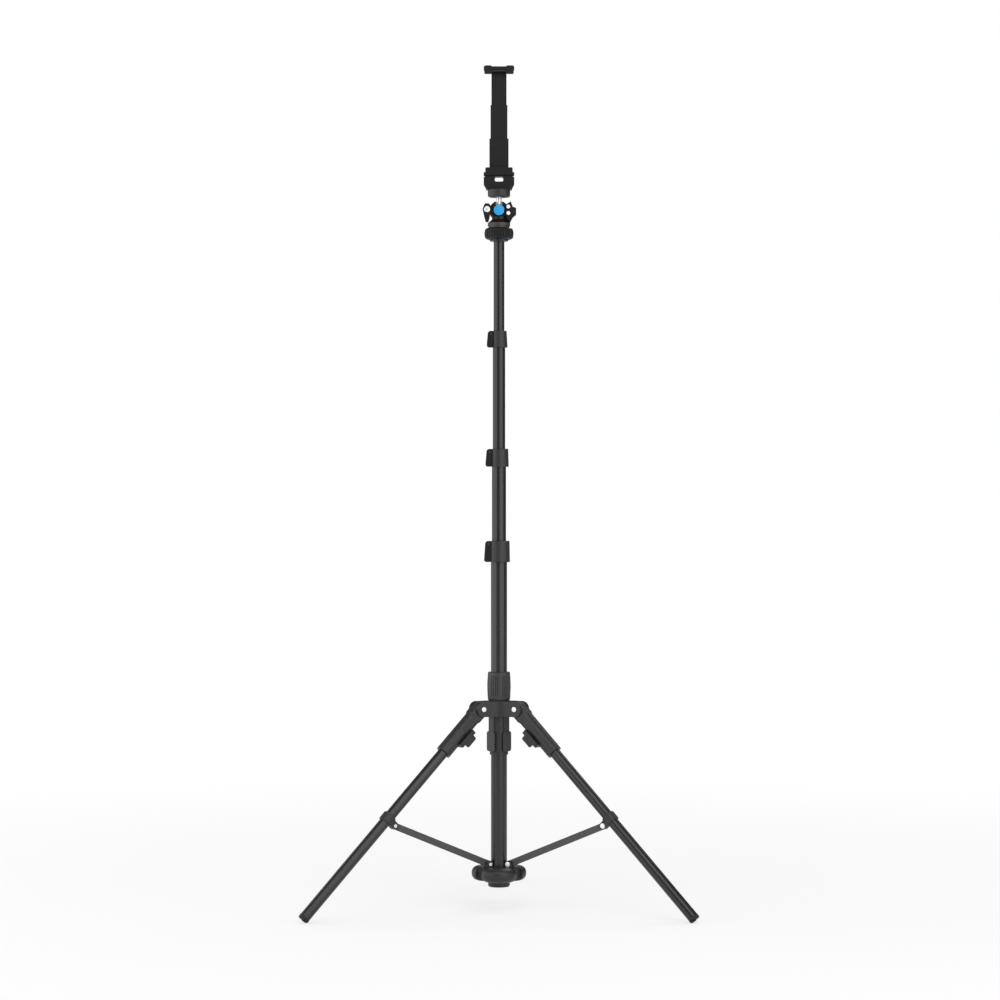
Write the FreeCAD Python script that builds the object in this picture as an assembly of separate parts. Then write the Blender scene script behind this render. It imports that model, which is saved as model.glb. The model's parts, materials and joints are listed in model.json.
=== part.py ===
import FreeCAD, Part
import math
import os

# A floor tripod for phones and tablets: a telescoping column, three folding legs with
# stay struts, a ball head and a sliding clamp. Sizes are in millimetres. Z is 0 at the
# flat underside of the column's end boss, Z is up and the front faces -Y.

# Fits
GLUE_GAP = 0.05
RUN_GAP = 0.05
SIDE_GAP = 0.3

# Column and mast tubes, section 3 is the lowest of the mast
MAIN_OD = 28.6
MAIN_WALL = 1.2
MAIN_LENGTH = 581.0
MAST3_OD = 25.0
MAST3_LENGTH = 252.0
MAST3_OVERLAP = 85.0
MAST2_OD = 22.0
MAST2_LENGTH = 257.5
MAST2_OVERLAP = 47.0
MAST1_OD = 19.0
MAST1_LENGTH = 223.0
MAST1_OVERLAP = 47.5
MAST_WALL = 1.0
BUSH_FLANGE = 4.0
BUSH_SPIGOT = 12.0

# End boss under the column
BOSS_RADIUS = 19.5
BOSS_FLANGE = 11.0
BOSS_SPIGOT = 26.0
BOSS_EDGE = 4.0

# Spreader hub at the foot of the column
LOBE_RADIUS = 33.0
LOBE_OFFSET = 18.0
LOBE_EDGE = 11.5
SPREADER_HEIGHT = 25.2
SPREADER_PIVOT_RADIUS = 20.8
SPREADER_PIVOT_RISE = 30.2
POCKET_RADIUS = 10.7
CHEEK_HALF = 6.0
CHEEK_INNER = 15.5
CHEEK_OUTER = 28.5
CHEEK_RISE = 6.3
CHEEK_CORNER = 4.0
SPREADER_SLOT_DROP = 6.7

# Struts and their rivets
STRUT_THICK = 4.0
STRUT_HALF_WIDTH = 5.9
STRUT_RIVET_RADIUS = 2.0
RIVET_HEAD_RADIUS = 4.7
RIVET_HEAD_HEIGHT = 1.4
RIVET_TAIL_RADIUS = 2.9
RIVET_TAIL_HEIGHT = 0.8
RIVET_BORE_RADIUS = 1.2
RIVET_BORE_DEPTH = 2.5

# Legs
LEG_ANGLE = 45.0
LEG_AZIMUTHS = (-30.0, -150.0, 90.0)
HUB_PIVOT_RADIUS = 39.2
HUB_PIVOT_HEIGHT = 316.4
SLEEVE_OD = 27.0
SLEEVE_END = 104.5
SLEEVE_ROUND_START = 23.0
LUG_HALF = 11.7
LUG_RADIUS = 13.0
LUG_STRAIGHT = 16.0
LUG_CORNER = 4.0
FLAT_END = 53.0
LEG_OD = 19.0
LEG_WALL = 1.0
LEG_TUBE_START = 26.0
LEG_TUBE_END = 486.5
FOOT_CAP = 6.0
FOOT_LIP = 0.2
FOOT_SPIGOT = 20.0
FOOT_EDGE = 2.0
FOOT_SLOT_DEPTH = 2.6
FOOT_SLOT_HALF = 1.8
FOOT_FLAT = 0.5

# Spring clip on each leg, which snaps on the hub's catch plate
CLIP_CENTRE = 59.0
CLIP_SADDLE_HALF = 18.5
CLIP_SADDLE_TOP = 15.2
CLIP_SADDLE_LOW = 7.0
CLIP_PRONG_HALF = 11.5
CLIP_PRONG_THICK = 2.6
CLIP_PRONG_TOP = 23.3
CLIP_CORNER = 3.0

# Strut collar on each leg
COLLAR_ALONG = 260.7
COLLAR_OFFSET = 17.6
COLLAR_OD = 24.6
COLLAR_LENGTH = 16.0
COLLAR_EDGE = 0.8
COLLAR_LUG_RADIUS = 6.4
COLLAR_LUG_HALF = 6.0
COLLAR_SLOT_START = 11.2

# Sliding hub that carries the legs
HUB_SLEEVE_RADIUS = 16.0
HUB_SLEEVE_DROP = 81.8
HUB_LIP_RADIUS = 16.4
HUB_LIP_HEIGHT = 5.0
EAR_RADIUS = 13.5
EAR_THICK = 3.6
EAR_WEB_RADIUS = 22.0
EAR_FILLET = 25.0
HUB_RIVET_RADIUS = 3.0
HUB_RIVET_HEAD = 4.6
HUB_RIVET_HEIGHT = 1.4
PLATE_RADIUS = 17.5
PLATE_THICK = 2.0
PLATE_HALF_WIDTH = 13.2
PLATE_HALF_HEIGHT = 17.7
PLATE_DROP = 58.1
PLATE_CORNER = 5.0
RIB_HALF_WIDTH = 8.5

# Twist grip and the split collet under it
GRIP_GAP = 1.1
GRIP_HEIGHT = 50.1
GRIP_LOW_RADIUS = 19.8
GRIP_MID_RADIUS = 20.9
GRIP_TOP_RADIUS = 19.6
GRIP_MOUTH_RADIUS = 14.8
GRIP_GROUPS = 6
GRIP_GROUP_GROOVES = 4
GRIP_GROOVE_PITCH = 10.5
GRIP_GROOVE_RADIUS = 0.9
GRIP_GROOVE_END = 7.0
GRIP_GROOVE_START = -129.5
GRIP_EDGE = 0.8
GRIP_SWELL = 0.25
COLLET_RADIUS = 16.4
COLLET_TIP_RADIUS = 15.3
COLLET_BOSS = 12.0
COLLET_LENGTH = 29.0
COLLET_TAPER = 12.0
COLLET_SLITS = 4
COLLET_SLIT = 1.2

# Flip locks, lock 3 is the lowest
LOCK3_GRIP = 16.2
LOCK3_HEIGHT = 37.8
LOCK3_LOW_RADIUS = 19.5
LOCK3_TOP_RADIUS = 18.8
LOCK3_LEVER_REACH = 26.6
LOCK3_LEVER_HALF = 12.0
LOCK2_GRIP = 14.2
LOCK2_HEIGHT = 32.1
LOCK2_LOW_RADIUS = 17.4
LOCK2_TOP_RADIUS = 16.4
LOCK2_LEVER_REACH = 24.3
LOCK2_LEVER_HALF = 10.6
LOCK1_GRIP = 13.0
LOCK1_HEIGHT = 29.7
LOCK1_LOW_RADIUS = 15.1
LOCK1_TOP_RADIUS = 13.6
LOCK1_LEVER_REACH = 22.0
LOCK1_LEVER_HALF = 9.6
LEVER_LEAN = 2.0
LEVER_ROUND = 5.6
LEVER_CHEEK = 2.2
LEVER_BACK = 1.9
LEVER_TOP_GAP = 0.4
LEVER_FOOT_ROUND = 4.0
LOCK_EAR_RADIUS = 3.2
LOCK_SPINE = 1.0
LOCK_PIN_RADIUS = 1.4
CAM_HALF = 3.7
CAM_BACK_RADIUS = 4.2
LEVER_CREST = 0.5
LOCK_EDGE = 0.8

# Ball head
PLUG_LIP_RADIUS = 16.4
PLUG_LIP = 3.0
PLUG_EDGE = 1.0
PLUG_SPIGOT = 22.0
PLUG_STUD_RADIUS = 5.0
COLLAR_RING_HEIGHT = 20.8
COLLAR_RING_RADIUS = 25.9
COLLAR_RING_FOOT_RADIUS = 20.0
COLLAR_RING_EDGE_RADIUS = 24.5
COLLAR_RING_BEVEL = 2.2
COLLAR_RING_LAND_LOW = 8.5
COLLAR_RING_LAND_HIGH = 12.0
COLLAR_RING_GROOVES = 30
COLLAR_RING_GROOVE = 0.9
COLLAR_RING_GROOVE_END = 3.7
NECK_RADIUS = 19.9
NECK_GROOVE_RADIUS = 18.6
NECK_GROOVE = 3.2
NECK_BAND = 5.5
CONE_TOP_RADIUS = 12.4
CONE_HEIGHT = 6.2
BALL_RISE = 54.4
HOUSING_RADIUS = 17.1
HOUSING_FRONT = 6.0
HOUSING_BACK = 14.0
HOUSING_NOSE = 15.0
HOUSING_NOSE_RADIUS = 10.0
HOUSING_EDGE = 1.5
HOUSING_FOOT_STEP = 0.5
BRACKET_SEAT_INSET = 3.0
BALL_RADIUS = 11.0
BALL_GAP = 0.3
SOCKET_HALF_ANGLE = 24.0
NOTCH_HALF = 5.1
TILT_FORWARD = 35.0
CAP_RADIUS = 9.3
CAP_DEPTH = 2.4
CAP_RINGS = 3
CAP_GROOVE_HALF = 0.35
CAP_GROOVE_DEPTH = 0.5
STEM_RADIUS = 4.6
DISC_RADIUS = 19.8
DISC_HEIGHT = 13.4
DISC_RISE = 23.6
DISC_EDGE = 4.0
SWIVEL_STUD_RADIUS = 3.1
SWIVEL_STUD_HEIGHT = 5.5

# Lever and bracket at the sides of the ball housing, with their outlines as (x, z) points:
# the lever's from its own axis, the bracket's from the column's axis at the ball's height
LEVER_AXIS_X = -21.2
LEVER_AXIS_RISE = 1.5
LEVER_CAP_RADIUS = 5.4
LEVER_CAP_HEIGHT = 1.5
BALL_LEVER_FRONT = 13.5
BALL_LEVER_THICK = 7.0
LEVER_POST_RADIUS = 3.0
LEVER_COVER = 1.0
BRACKET_FRONT = 12.0
BRACKET_THICK = 9.0
BRACKET_SCREW_X = 16.55
BRACKET_SCREW_HALF_PITCH = 5.75
BRACKET_SCREW_RISE = 0.5
BRACKET_SCREW_RADIUS = 3.4
BRACKET_SCREW_HEIGHT = 1.0
BRACKET_SHANK_RADIUS = 1.6
BRACKET_SHANK = 6.0
BRACKET_SEAT_DROP = 20.0
BRACKET_OUTLINE = [
    (14.6, 11.5), (20.9, 15.5), (24.5, 6.0), (30.4, 3.8), (30.4, -8.4),
    (27.7, -10.2), (24.5, -12.9), (20.0, -21.1), (13.2, -13.5), (13.2, 8.0)
]
LEVER_OUTLINE = [
    (-3.6, 10.4), (3.2, 10.4), (6.6, 6.3), (5.6, -8.0), (4.6, -14.5), (2.7, -21.7),
    (0.0, -23.3), (-2.7, -21.7), (-5.0, -12.7), (-8.1, 0.9)
]

# Clamp
CLAMP_FLANGE = 7.1
CLAMP_SHELF_RISE = 30.0
CLAMP_DEVICE_GAP = 178.2
CLAMP_HALF_WIDTH = 24.2
CLAMP_WIDE = 27.1
CLAMP_FRONT = -9.0
CLAMP_BACK = 5.0
CLAMP_FOOT_HALF = 22.9
CLAMP_FOOT_RISE = 2.0
CLAMP_WIDE_LOW = 9.8
CLAMP_WIDE_HIGH = 21.6
CLAMP_FACE_SETBACK = 1.5
CLAMP_WEB_SETBACK = 4.0
CLAMP_WEB_INSET = 1.0
CLAMP_CHEEK_GAP = 1.5
CLAMP_CORNER = 3.0
LIP_THICK = 2.6
LIP_RISE = 6.6
LIP_CORNER = 2.0
PAD_THICK = 2.4
PAD_FRONT = -6.0
PAD_BACK = 4.6
PAD_INSET = 1.0
SHELF_THICK = 4.2
WINDOW_HALF = 7.5
WINDOW_LOW = 14.1
WINDOW_HIGH = 23.1
WINDOW_CORNER = 2.5
GUIDE_HALF = 17.0
GUIDE_DEPTH = 9.6
GUIDE_WALL = 1.8
GUIDE_TOP = 91.6
GUIDE_GAP = 0.2
SLIDE_WALL = 1.4
SLIDE_BOTTOM = 75.6
SLIDE_LENGTH = 76.0
SLIDE_TRAVEL = 58.0
SLIDE_SPARE = 2.0
BLADE_OVERLAP = 16.0
JAW_THICK = 5.0
HOOK_INNER = 12.8
HOOK_OUTER = 26.0
HOOK_DROP = 6.1
HOOK_RISE = 1.7

# Places along the column, worked out from the lengths above
TUBE_FOOT = BOSS_FLANGE
MAIN_TOP = TUBE_FOOT + MAIN_LENGTH
MAST3_FOOT = MAIN_TOP - MAST3_OVERLAP
MAST3_TOP = MAST3_FOOT + MAST3_LENGTH
MAST2_FOOT = MAST3_TOP - MAST2_OVERLAP
MAST2_TOP = MAST2_FOOT + MAST2_LENGTH
MAST1_FOOT = MAST2_TOP - MAST1_OVERLAP
MAST1_TOP = MAST1_FOOT + MAST1_LENGTH
HUB_TOP = HUB_PIVOT_HEIGHT + EAR_RADIUS
GRIP_FOOT = HUB_TOP + GRIP_GAP
PLATE_CENTRE = HUB_PIVOT_HEIGHT - PLATE_DROP
SPREADER_FOOT = TUBE_FOOT
SPREADER_TOP = SPREADER_FOOT + SPREADER_HEIGHT
SPREADER_PIVOT_HEIGHT = SPREADER_FOOT + SPREADER_PIVOT_RISE
COLLAR_RING_FOOT = MAST1_TOP + PLUG_LIP
NECK_FOOT = COLLAR_RING_FOOT + COLLAR_RING_HEIGHT
BAND_FOOT = NECK_FOOT + NECK_GROOVE
CONE_FOOT = BAND_FOOT + NECK_BAND
BALL_HEIGHT = MAST1_TOP + BALL_RISE
DISC_FOOT = BALL_HEIGHT + DISC_RISE
CLAMP_FOOT = DISC_FOOT + DISC_HEIGHT
SHELF_TOP = CLAMP_FOOT + CLAMP_SHELF_RISE
PAD_TOP = SHELF_TOP + PAD_THICK
JAW_PAD_FOOT = PAD_TOP + CLAMP_DEVICE_GAP
JAW_FOOT = JAW_PAD_FOOT + PAD_THICK
JAW_TOP = JAW_FOOT + JAW_THICK

# Inner radii of the tubes
MAIN_BORE = MAIN_OD / 2 - MAIN_WALL
MAST3_BORE = MAST3_OD / 2 - MAST_WALL
MAST2_BORE = MAST2_OD / 2 - MAST_WALL
MAST1_BORE = MAST1_OD / 2 - MAST_WALL
HUB_BORE = MAIN_OD / 2 + RUN_GAP
EAR_INNER = LUG_HALF + SIDE_GAP
EAR_OUTER = EAR_INNER + EAR_THICK
STRUT_SLOT_HALF = STRUT_THICK / 2 + SIDE_GAP

# The leg line in its own upright plane, and the strut that ties it to the spreader
LEG_RAD = math.radians(LEG_ANGLE)
STRUT_TOP_RADIUS = (
    HUB_PIVOT_RADIUS + COLLAR_ALONG * math.sin(LEG_RAD) - COLLAR_OFFSET * math.cos(LEG_RAD)
)
STRUT_TOP_HEIGHT = (
    HUB_PIVOT_HEIGHT - COLLAR_ALONG * math.cos(LEG_RAD) - COLLAR_OFFSET * math.sin(LEG_RAD)
)
STRUT_RUN = STRUT_TOP_RADIUS - SPREADER_PIVOT_RADIUS
STRUT_RISE = STRUT_TOP_HEIGHT - SPREADER_PIVOT_HEIGHT
STRUT_LENGTH = math.hypot(STRUT_RUN, STRUT_RISE)
STRUT_ANGLE = math.degrees(math.atan2(STRUT_RUN, STRUT_RISE))
FOLDED_STRUT_ANGLE = math.degrees(
    math.asin((HUB_PIVOT_RADIUS - COLLAR_OFFSET - SPREADER_PIVOT_RADIUS) / STRUT_LENGTH)
)
FOLDED_STRUT_RISE = STRUT_LENGTH * math.cos(math.radians(FOLDED_STRUT_ANGLE))
HUB_TRAVEL = SPREADER_PIVOT_HEIGHT + FOLDED_STRUT_RISE + COLLAR_ALONG - HUB_PIVOT_HEIGHT
LEG_END = LEG_TUBE_END + FOOT_CAP
FOOT_RADIUS = LEG_OD / 2 + FOOT_LIP
FOOT_RIM_ALONG = LEG_END - FOOT_EDGE
FOOT_RIM_OFFSET = FOOT_RADIUS - FOOT_EDGE
FLOOR_HEIGHT = (
    HUB_PIVOT_HEIGHT - FOOT_RIM_ALONG * math.cos(LEG_RAD) - FOOT_RIM_OFFSET * math.sin(LEG_RAD)
    - FOOT_EDGE + FOOT_FLAT
)

ORIGIN = FreeCAD.Vector(0, 0, 0)
X_AXIS = FreeCAD.Vector(1, 0, 0)
Y_AXIS = FreeCAD.Vector(0, 1, 0)
Z_AXIS = FreeCAD.Vector(0, 0, 1)
CUT = 60.0
parts = {}


def vec(x, y, z=0.0):
    return FreeCAD.Vector(x, y, z)


def cyl(radius, low, high, x=0.0, y=0.0):
    return Part.makeCylinder(radius, high - low, vec(x, y, low))


def ring(outer, inner, low, high):
    return cyl(outer, low, high).cut(cyl(inner, low - 1, high + 1))


def rod(radius, start, end):
    return Part.makeCylinder(radius, (end - start).Length, start, end - start)


def box(x0, x1, y0, y1, z0, z1):
    return Part.makeBox(x1 - x0, y1 - y0, z1 - z0, vec(x0, y0, z0))


def rounded_box(x0, x1, y0, y1, z0, z1, radius, axis):
    solid = box(x0, x1, y0, y1, z0, z1)
    along = [e for e in solid.Edges if abs(e.tangentAt(e.FirstParameter).dot(axis)) > 0.99]
    return solid.makeFillet(radius, along)


def turned(points):
    outline = Part.makePolygon([vec(r, 0, z) for r, z in points + points[:1]])
    return Part.Face(outline).revolve(ORIGIN, Z_AXIS, 360)


def prism(points, direction):
    outline = Part.makePolygon(points + points[:1])
    return Part.Face(outline).extrude(direction)


def upright_prism(outline, y0, y1):
    # An outline of (x, z) points, from y0 back to y1
    return prism([vec(x, y0, z) for x, z in outline], vec(0, y1 - y0))


def fused(*shapes):
    solid = shapes[0].multiFuse(list(shapes[1:]))
    return solid.removeSplitter()


def turn(shape, azimuth):
    copy = shape.copy()
    copy.rotate(ORIGIN, Z_AXIS, azimuth)
    return copy


def round_rims(solid, radius, heights):
    # Round the circular edges that lie at the given heights
    rims = []
    for edge in solid.Edges:
        box_of_edge = edge.BoundBox
        flat = box_of_edge.ZMax - box_of_edge.ZMin < 0.01
        if flat and any(abs(box_of_edge.ZMin - z) < 0.01 for z in heights):
            rims.append(edge)
    return solid.makeFillet(radius, rims)


# Rivets run along the tangent: a domed head on one side, a tubular tail on the other
def dome(radius, height, start, direction):
    ball_radius = (radius ** 2 + height ** 2) / (2 * height)
    centre = start - direction * (ball_radius - height)
    ball = Part.makeSphere(ball_radius, centre)
    return ball.common(Part.makeCylinder(radius, height, start, direction))


def strut_rivet(centre, half_length, head_radius, head_height, tangent):
    shank = rod(STRUT_RIVET_RADIUS, centre - tangent * half_length, centre + tangent * half_length)
    head = dome(head_radius, head_height, centre - tangent * half_length, tangent * -1)
    tail_start = centre + tangent * half_length
    tail = rod(RIVET_TAIL_RADIUS, tail_start, tail_start + tangent * RIVET_TAIL_HEIGHT)
    bore_start = tail_start - tangent * (RIVET_BORE_DEPTH - RIVET_TAIL_HEIGHT)
    bore = rod(RIVET_BORE_RADIUS, bore_start, tail_start + tangent * (RIVET_TAIL_HEIGHT + 1))
    return fused(shank, head, tail).cut(bore)


# Column: main tube, end boss and spreader hub
def make_main_tube():
    return ring(MAIN_OD / 2, MAIN_BORE, TUBE_FOOT, MAIN_TOP)


def make_end_boss():
    flange = round_rims(cyl(BOSS_RADIUS, 0, BOSS_FLANGE), BOSS_EDGE, [0])
    spigot = cyl(MAIN_BORE - GLUE_GAP, 0, BOSS_FLANGE + BOSS_SPIGOT)
    return fused(flange, spigot)


def make_spreader_hub():
    lobes = []
    for azimuth in LEG_AZIMUTHS:
        lobe = cyl(LOBE_RADIUS, SPREADER_FOOT, SPREADER_TOP, LOBE_OFFSET)
        lobe = round_rims(lobe, LOBE_EDGE, [SPREADER_FOOT, SPREADER_TOP])
        lobes.append(turn(lobe, azimuth + 60))
    body = fused(*lobes)
    slot_floor = SPREADER_PIVOT_HEIGHT - SPREADER_SLOT_DROP
    cheek_top = SPREADER_PIVOT_HEIGHT + CHEEK_RISE
    for azimuth in LEG_AZIMUTHS:
        cheek = rounded_box(
            CHEEK_INNER, CHEEK_OUTER, -CHEEK_HALF, CHEEK_HALF,
            SPREADER_TOP - 2 * CHEEK_CORNER, cheek_top, CHEEK_CORNER, Y_AXIS
        )
        body = body.fuse(turn(cheek, azimuth))
    for azimuth in LEG_AZIMUTHS:
        pocket = cyl(POCKET_RADIUS, SPREADER_FOOT - 1, cheek_top + 1, HUB_PIVOT_RADIUS)
        slot = box(0, CUT, -STRUT_SLOT_HALF, STRUT_SLOT_HALF, slot_floor, cheek_top + 1)
        start = vec(SPREADER_PIVOT_RADIUS, -CHEEK_HALF - 1, SPREADER_PIVOT_HEIGHT)
        hole = Part.makeCylinder(STRUT_RIVET_RADIUS + RUN_GAP, 2 * CHEEK_HALF + 2, start, Y_AXIS)
        body = body.cut(turn(fused(pocket, slot), azimuth)).cut(turn(hole, azimuth))
    bore = cyl(MAIN_OD / 2 + GLUE_GAP, SPREADER_FOOT - 1, cheek_top + 1)
    return body.cut(bore).removeSplitter()


def make_spreader_rivets():
    rivets = []
    for azimuth in LEG_AZIMUTHS:
        centre = vec(SPREADER_PIVOT_RADIUS, 0, SPREADER_PIVOT_HEIGHT)
        rivet = strut_rivet(centre, CHEEK_HALF, RIVET_HEAD_RADIUS, RIVET_HEAD_HEIGHT, Y_AXIS)
        rivets.append(turn(rivet, azimuth))
    return Part.makeCompound(rivets)


# Legs are drawn along X from the hub pivot, with +Z on the inner side, then set in place
def set_leg(shape, azimuth):
    radial = vec(math.cos(math.radians(azimuth)), math.sin(math.radians(azimuth)))
    along = radial * math.sin(LEG_RAD) - Z_AXIS * math.cos(LEG_RAD)
    inward = radial * -math.cos(LEG_RAD) - Z_AXIS * math.sin(LEG_RAD)
    side = inward.cross(along)
    pivot = radial * HUB_PIVOT_RADIUS + Z_AXIS * HUB_PIVOT_HEIGHT
    placed = shape.copy()
    placed.transformShape(FreeCAD.Matrix(
        along.x, side.x, inward.x, pivot.x,
        along.y, side.y, inward.y, pivot.y,
        along.z, side.z, inward.z, pivot.z,
        0, 0, 0, 1
    ))
    return placed


def along_leg(radius, start, end):
    return Part.makeCylinder(radius, end - start, vec(start, 0), X_AXIS)


def make_leg_sleeve():
    # A flat-sided lug with a full-round nose, eased into the round barrel by a cone
    block = rounded_box(
        -LUG_RADIUS, SLEEVE_ROUND_START, -LUG_HALF, LUG_HALF, -LUG_RADIUS, LUG_RADIUS,
        LUG_CORNER, X_AXIS
    )
    drum = Part.makeCylinder(LUG_RADIUS, 2 * LUG_HALF, vec(0, -LUG_HALF), Y_AXIS)
    rest = box(0, SLEEVE_ROUND_START, -LUG_HALF, LUG_HALF, -LUG_RADIUS, LUG_RADIUS)
    ease = fused(
        along_leg(SLEEVE_OD, -SLEEVE_OD, LUG_STRAIGHT),
        Part.makeCone(
            LUG_RADIUS + LUG_CORNER, SLEEVE_OD / 2, SLEEVE_ROUND_START - LUG_STRAIGHT,
            vec(LUG_STRAIGHT, 0), X_AXIS
        )
    )
    lug = block.common(fused(drum, rest)).common(ease)
    barrel = along_leg(SLEEVE_OD / 2, LEG_TUBE_START - SLEEVE_OD / 2, SLEEVE_END)
    for side in (-1, 1):
        inner = side * LUG_HALF
        outer = side * SLEEVE_OD
        flat = box(
            0, FLAT_END, min(inner, outer), max(inner, outer), -SLEEVE_OD, SLEEVE_OD
        )
        barrel = barrel.cut(flat)
    bore = along_leg(LEG_OD / 2 + GLUE_GAP, LEG_TUBE_START, SLEEVE_END + 1)
    pin = Part.makeCylinder(HUB_RIVET_RADIUS + RUN_GAP, 2 * CUT, vec(0, -CUT), Y_AXIS)
    return lug.fuse(barrel).cut(bore).cut(pin).removeSplitter()


def make_leg_tube():
    tube = along_leg(LEG_OD / 2, LEG_TUBE_START, LEG_TUBE_END)
    return tube.cut(along_leg(LEG_OD / 2 - LEG_WALL, LEG_TUBE_START - 1, LEG_TUBE_END + 1))


def make_leg_foot():
    cap = along_leg(FOOT_RADIUS, LEG_TUBE_END, LEG_END)
    rims = [e for e in cap.Edges if e.BoundBox.XMin > LEG_END - 0.01]
    cap = cap.makeFillet(FOOT_EDGE, rims)
    spigot = along_leg(LEG_OD / 2 - LEG_WALL - GLUE_GAP, LEG_TUBE_END - FOOT_SPIGOT, LEG_TUBE_END)
    slot = box(
        LEG_END - FOOT_SLOT_DEPTH, LEG_END + 1, -LEG_OD, LEG_OD, -FOOT_SLOT_HALF, FOOT_SLOT_HALF
    )
    return fused(cap, spigot).cut(slot)


def make_leg_clip():
    # The prongs pass outside the hub's ears and a slot on each side lets the ears by
    prong_inner = EAR_OUTER + SIDE_GAP
    prong_outer = prong_inner + CLIP_PRONG_THICK
    low = CLIP_CENTRE - CLIP_SADDLE_HALF
    high = CLIP_CENTRE + CLIP_SADDLE_HALF
    saddle = rounded_box(
        low, high, -prong_outer, prong_outer,
        CLIP_SADDLE_LOW, CLIP_SADDLE_TOP, CLIP_CORNER, Z_AXIS
    )
    prongs = []
    for side in (-1, 1):
        outer = side * prong_outer
        inner = side * prong_inner
        prongs.append(rounded_box(
            CLIP_CENTRE - CLIP_PRONG_HALF, CLIP_CENTRE + CLIP_PRONG_HALF,
            min(outer, inner), max(outer, inner),
            CLIP_SADDLE_TOP - 2 * CLIP_CORNER, CLIP_PRONG_TOP, CLIP_CORNER, Y_AXIS
        ))
    body = fused(saddle, *prongs)
    for side in (-1, 1):
        inner = side * (EAR_INNER - SIDE_GAP / 2)
        outer = side * prong_inner
        slot = box(0, FLAT_END, min(inner, outer), max(inner, outer), 0, CUT)
        body = body.cut(slot)
    return body.cut(along_leg(SLEEVE_OD / 2 + GLUE_GAP, 0, CUT * 2))


def make_strut_collar():
    low = COLLAR_ALONG - COLLAR_LENGTH / 2
    high = COLLAR_ALONG + COLLAR_LENGTH / 2
    band = along_leg(COLLAR_OD / 2, low, high)
    band = band.makeChamfer(COLLAR_EDGE, [e for e in band.Edges if len(e.Vertexes) == 1])
    web = box(
        COLLAR_ALONG - COLLAR_LUG_RADIUS, COLLAR_ALONG + COLLAR_LUG_RADIUS,
        -COLLAR_LUG_HALF, COLLAR_LUG_HALF, LEG_OD / 2, COLLAR_OFFSET
    )
    start = vec(COLLAR_ALONG, -COLLAR_LUG_HALF, COLLAR_OFFSET)
    eye = Part.makeCylinder(COLLAR_LUG_RADIUS, 2 * COLLAR_LUG_HALF, start, Y_AXIS)
    slot = box(low - 1, high + 1, -STRUT_SLOT_HALF, STRUT_SLOT_HALF, COLLAR_SLOT_START, CUT)
    hole_start = vec(COLLAR_ALONG, -CUT, COLLAR_OFFSET)
    hole = Part.makeCylinder(STRUT_RIVET_RADIUS + RUN_GAP, 2 * CUT, hole_start, Y_AXIS)
    bore = along_leg(LEG_OD / 2 + GLUE_GAP, low - 1, high + 1)
    return fused(band, web, eye).cut(slot).cut(hole).cut(bore)


def make_collar_rivet():
    centre = vec(COLLAR_ALONG, 0, COLLAR_OFFSET)
    tangent = vec(0, -1)
    return strut_rivet(centre, COLLAR_LUG_HALF, RIVET_HEAD_RADIUS, RIVET_HEAD_HEIGHT, tangent)


# Struts are drawn in the plane of their leg and swung about the column
def make_strut(azimuth):
    foot = vec(SPREADER_PIVOT_RADIUS, 0, SPREADER_PIVOT_HEIGHT)
    head = vec(STRUT_TOP_RADIUS, 0, STRUT_TOP_HEIGHT)
    half = STRUT_THICK / 2
    bar = box(0, STRUT_LENGTH, -half, half, -STRUT_HALF_WIDTH, STRUT_HALF_WIDTH)
    pieces = [bar]
    for x in (0, STRUT_LENGTH):
        pieces.append(Part.makeCylinder(STRUT_HALF_WIDTH, STRUT_THICK, vec(x, -half), Y_AXIS))
    flat = fused(*pieces)
    for x in (0, STRUT_LENGTH):
        start = vec(x, -half - 1)
        hole = Part.makeCylinder(STRUT_RIVET_RADIUS + RUN_GAP, STRUT_THICK + 2, start, Y_AXIS)
        flat = flat.cut(hole)
    rise = math.degrees(math.atan2(head.z - foot.z, head.x - foot.x))
    flat.rotate(ORIGIN, Y_AXIS, -rise)
    flat.translate(foot)
    return turn(flat, azimuth)


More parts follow.
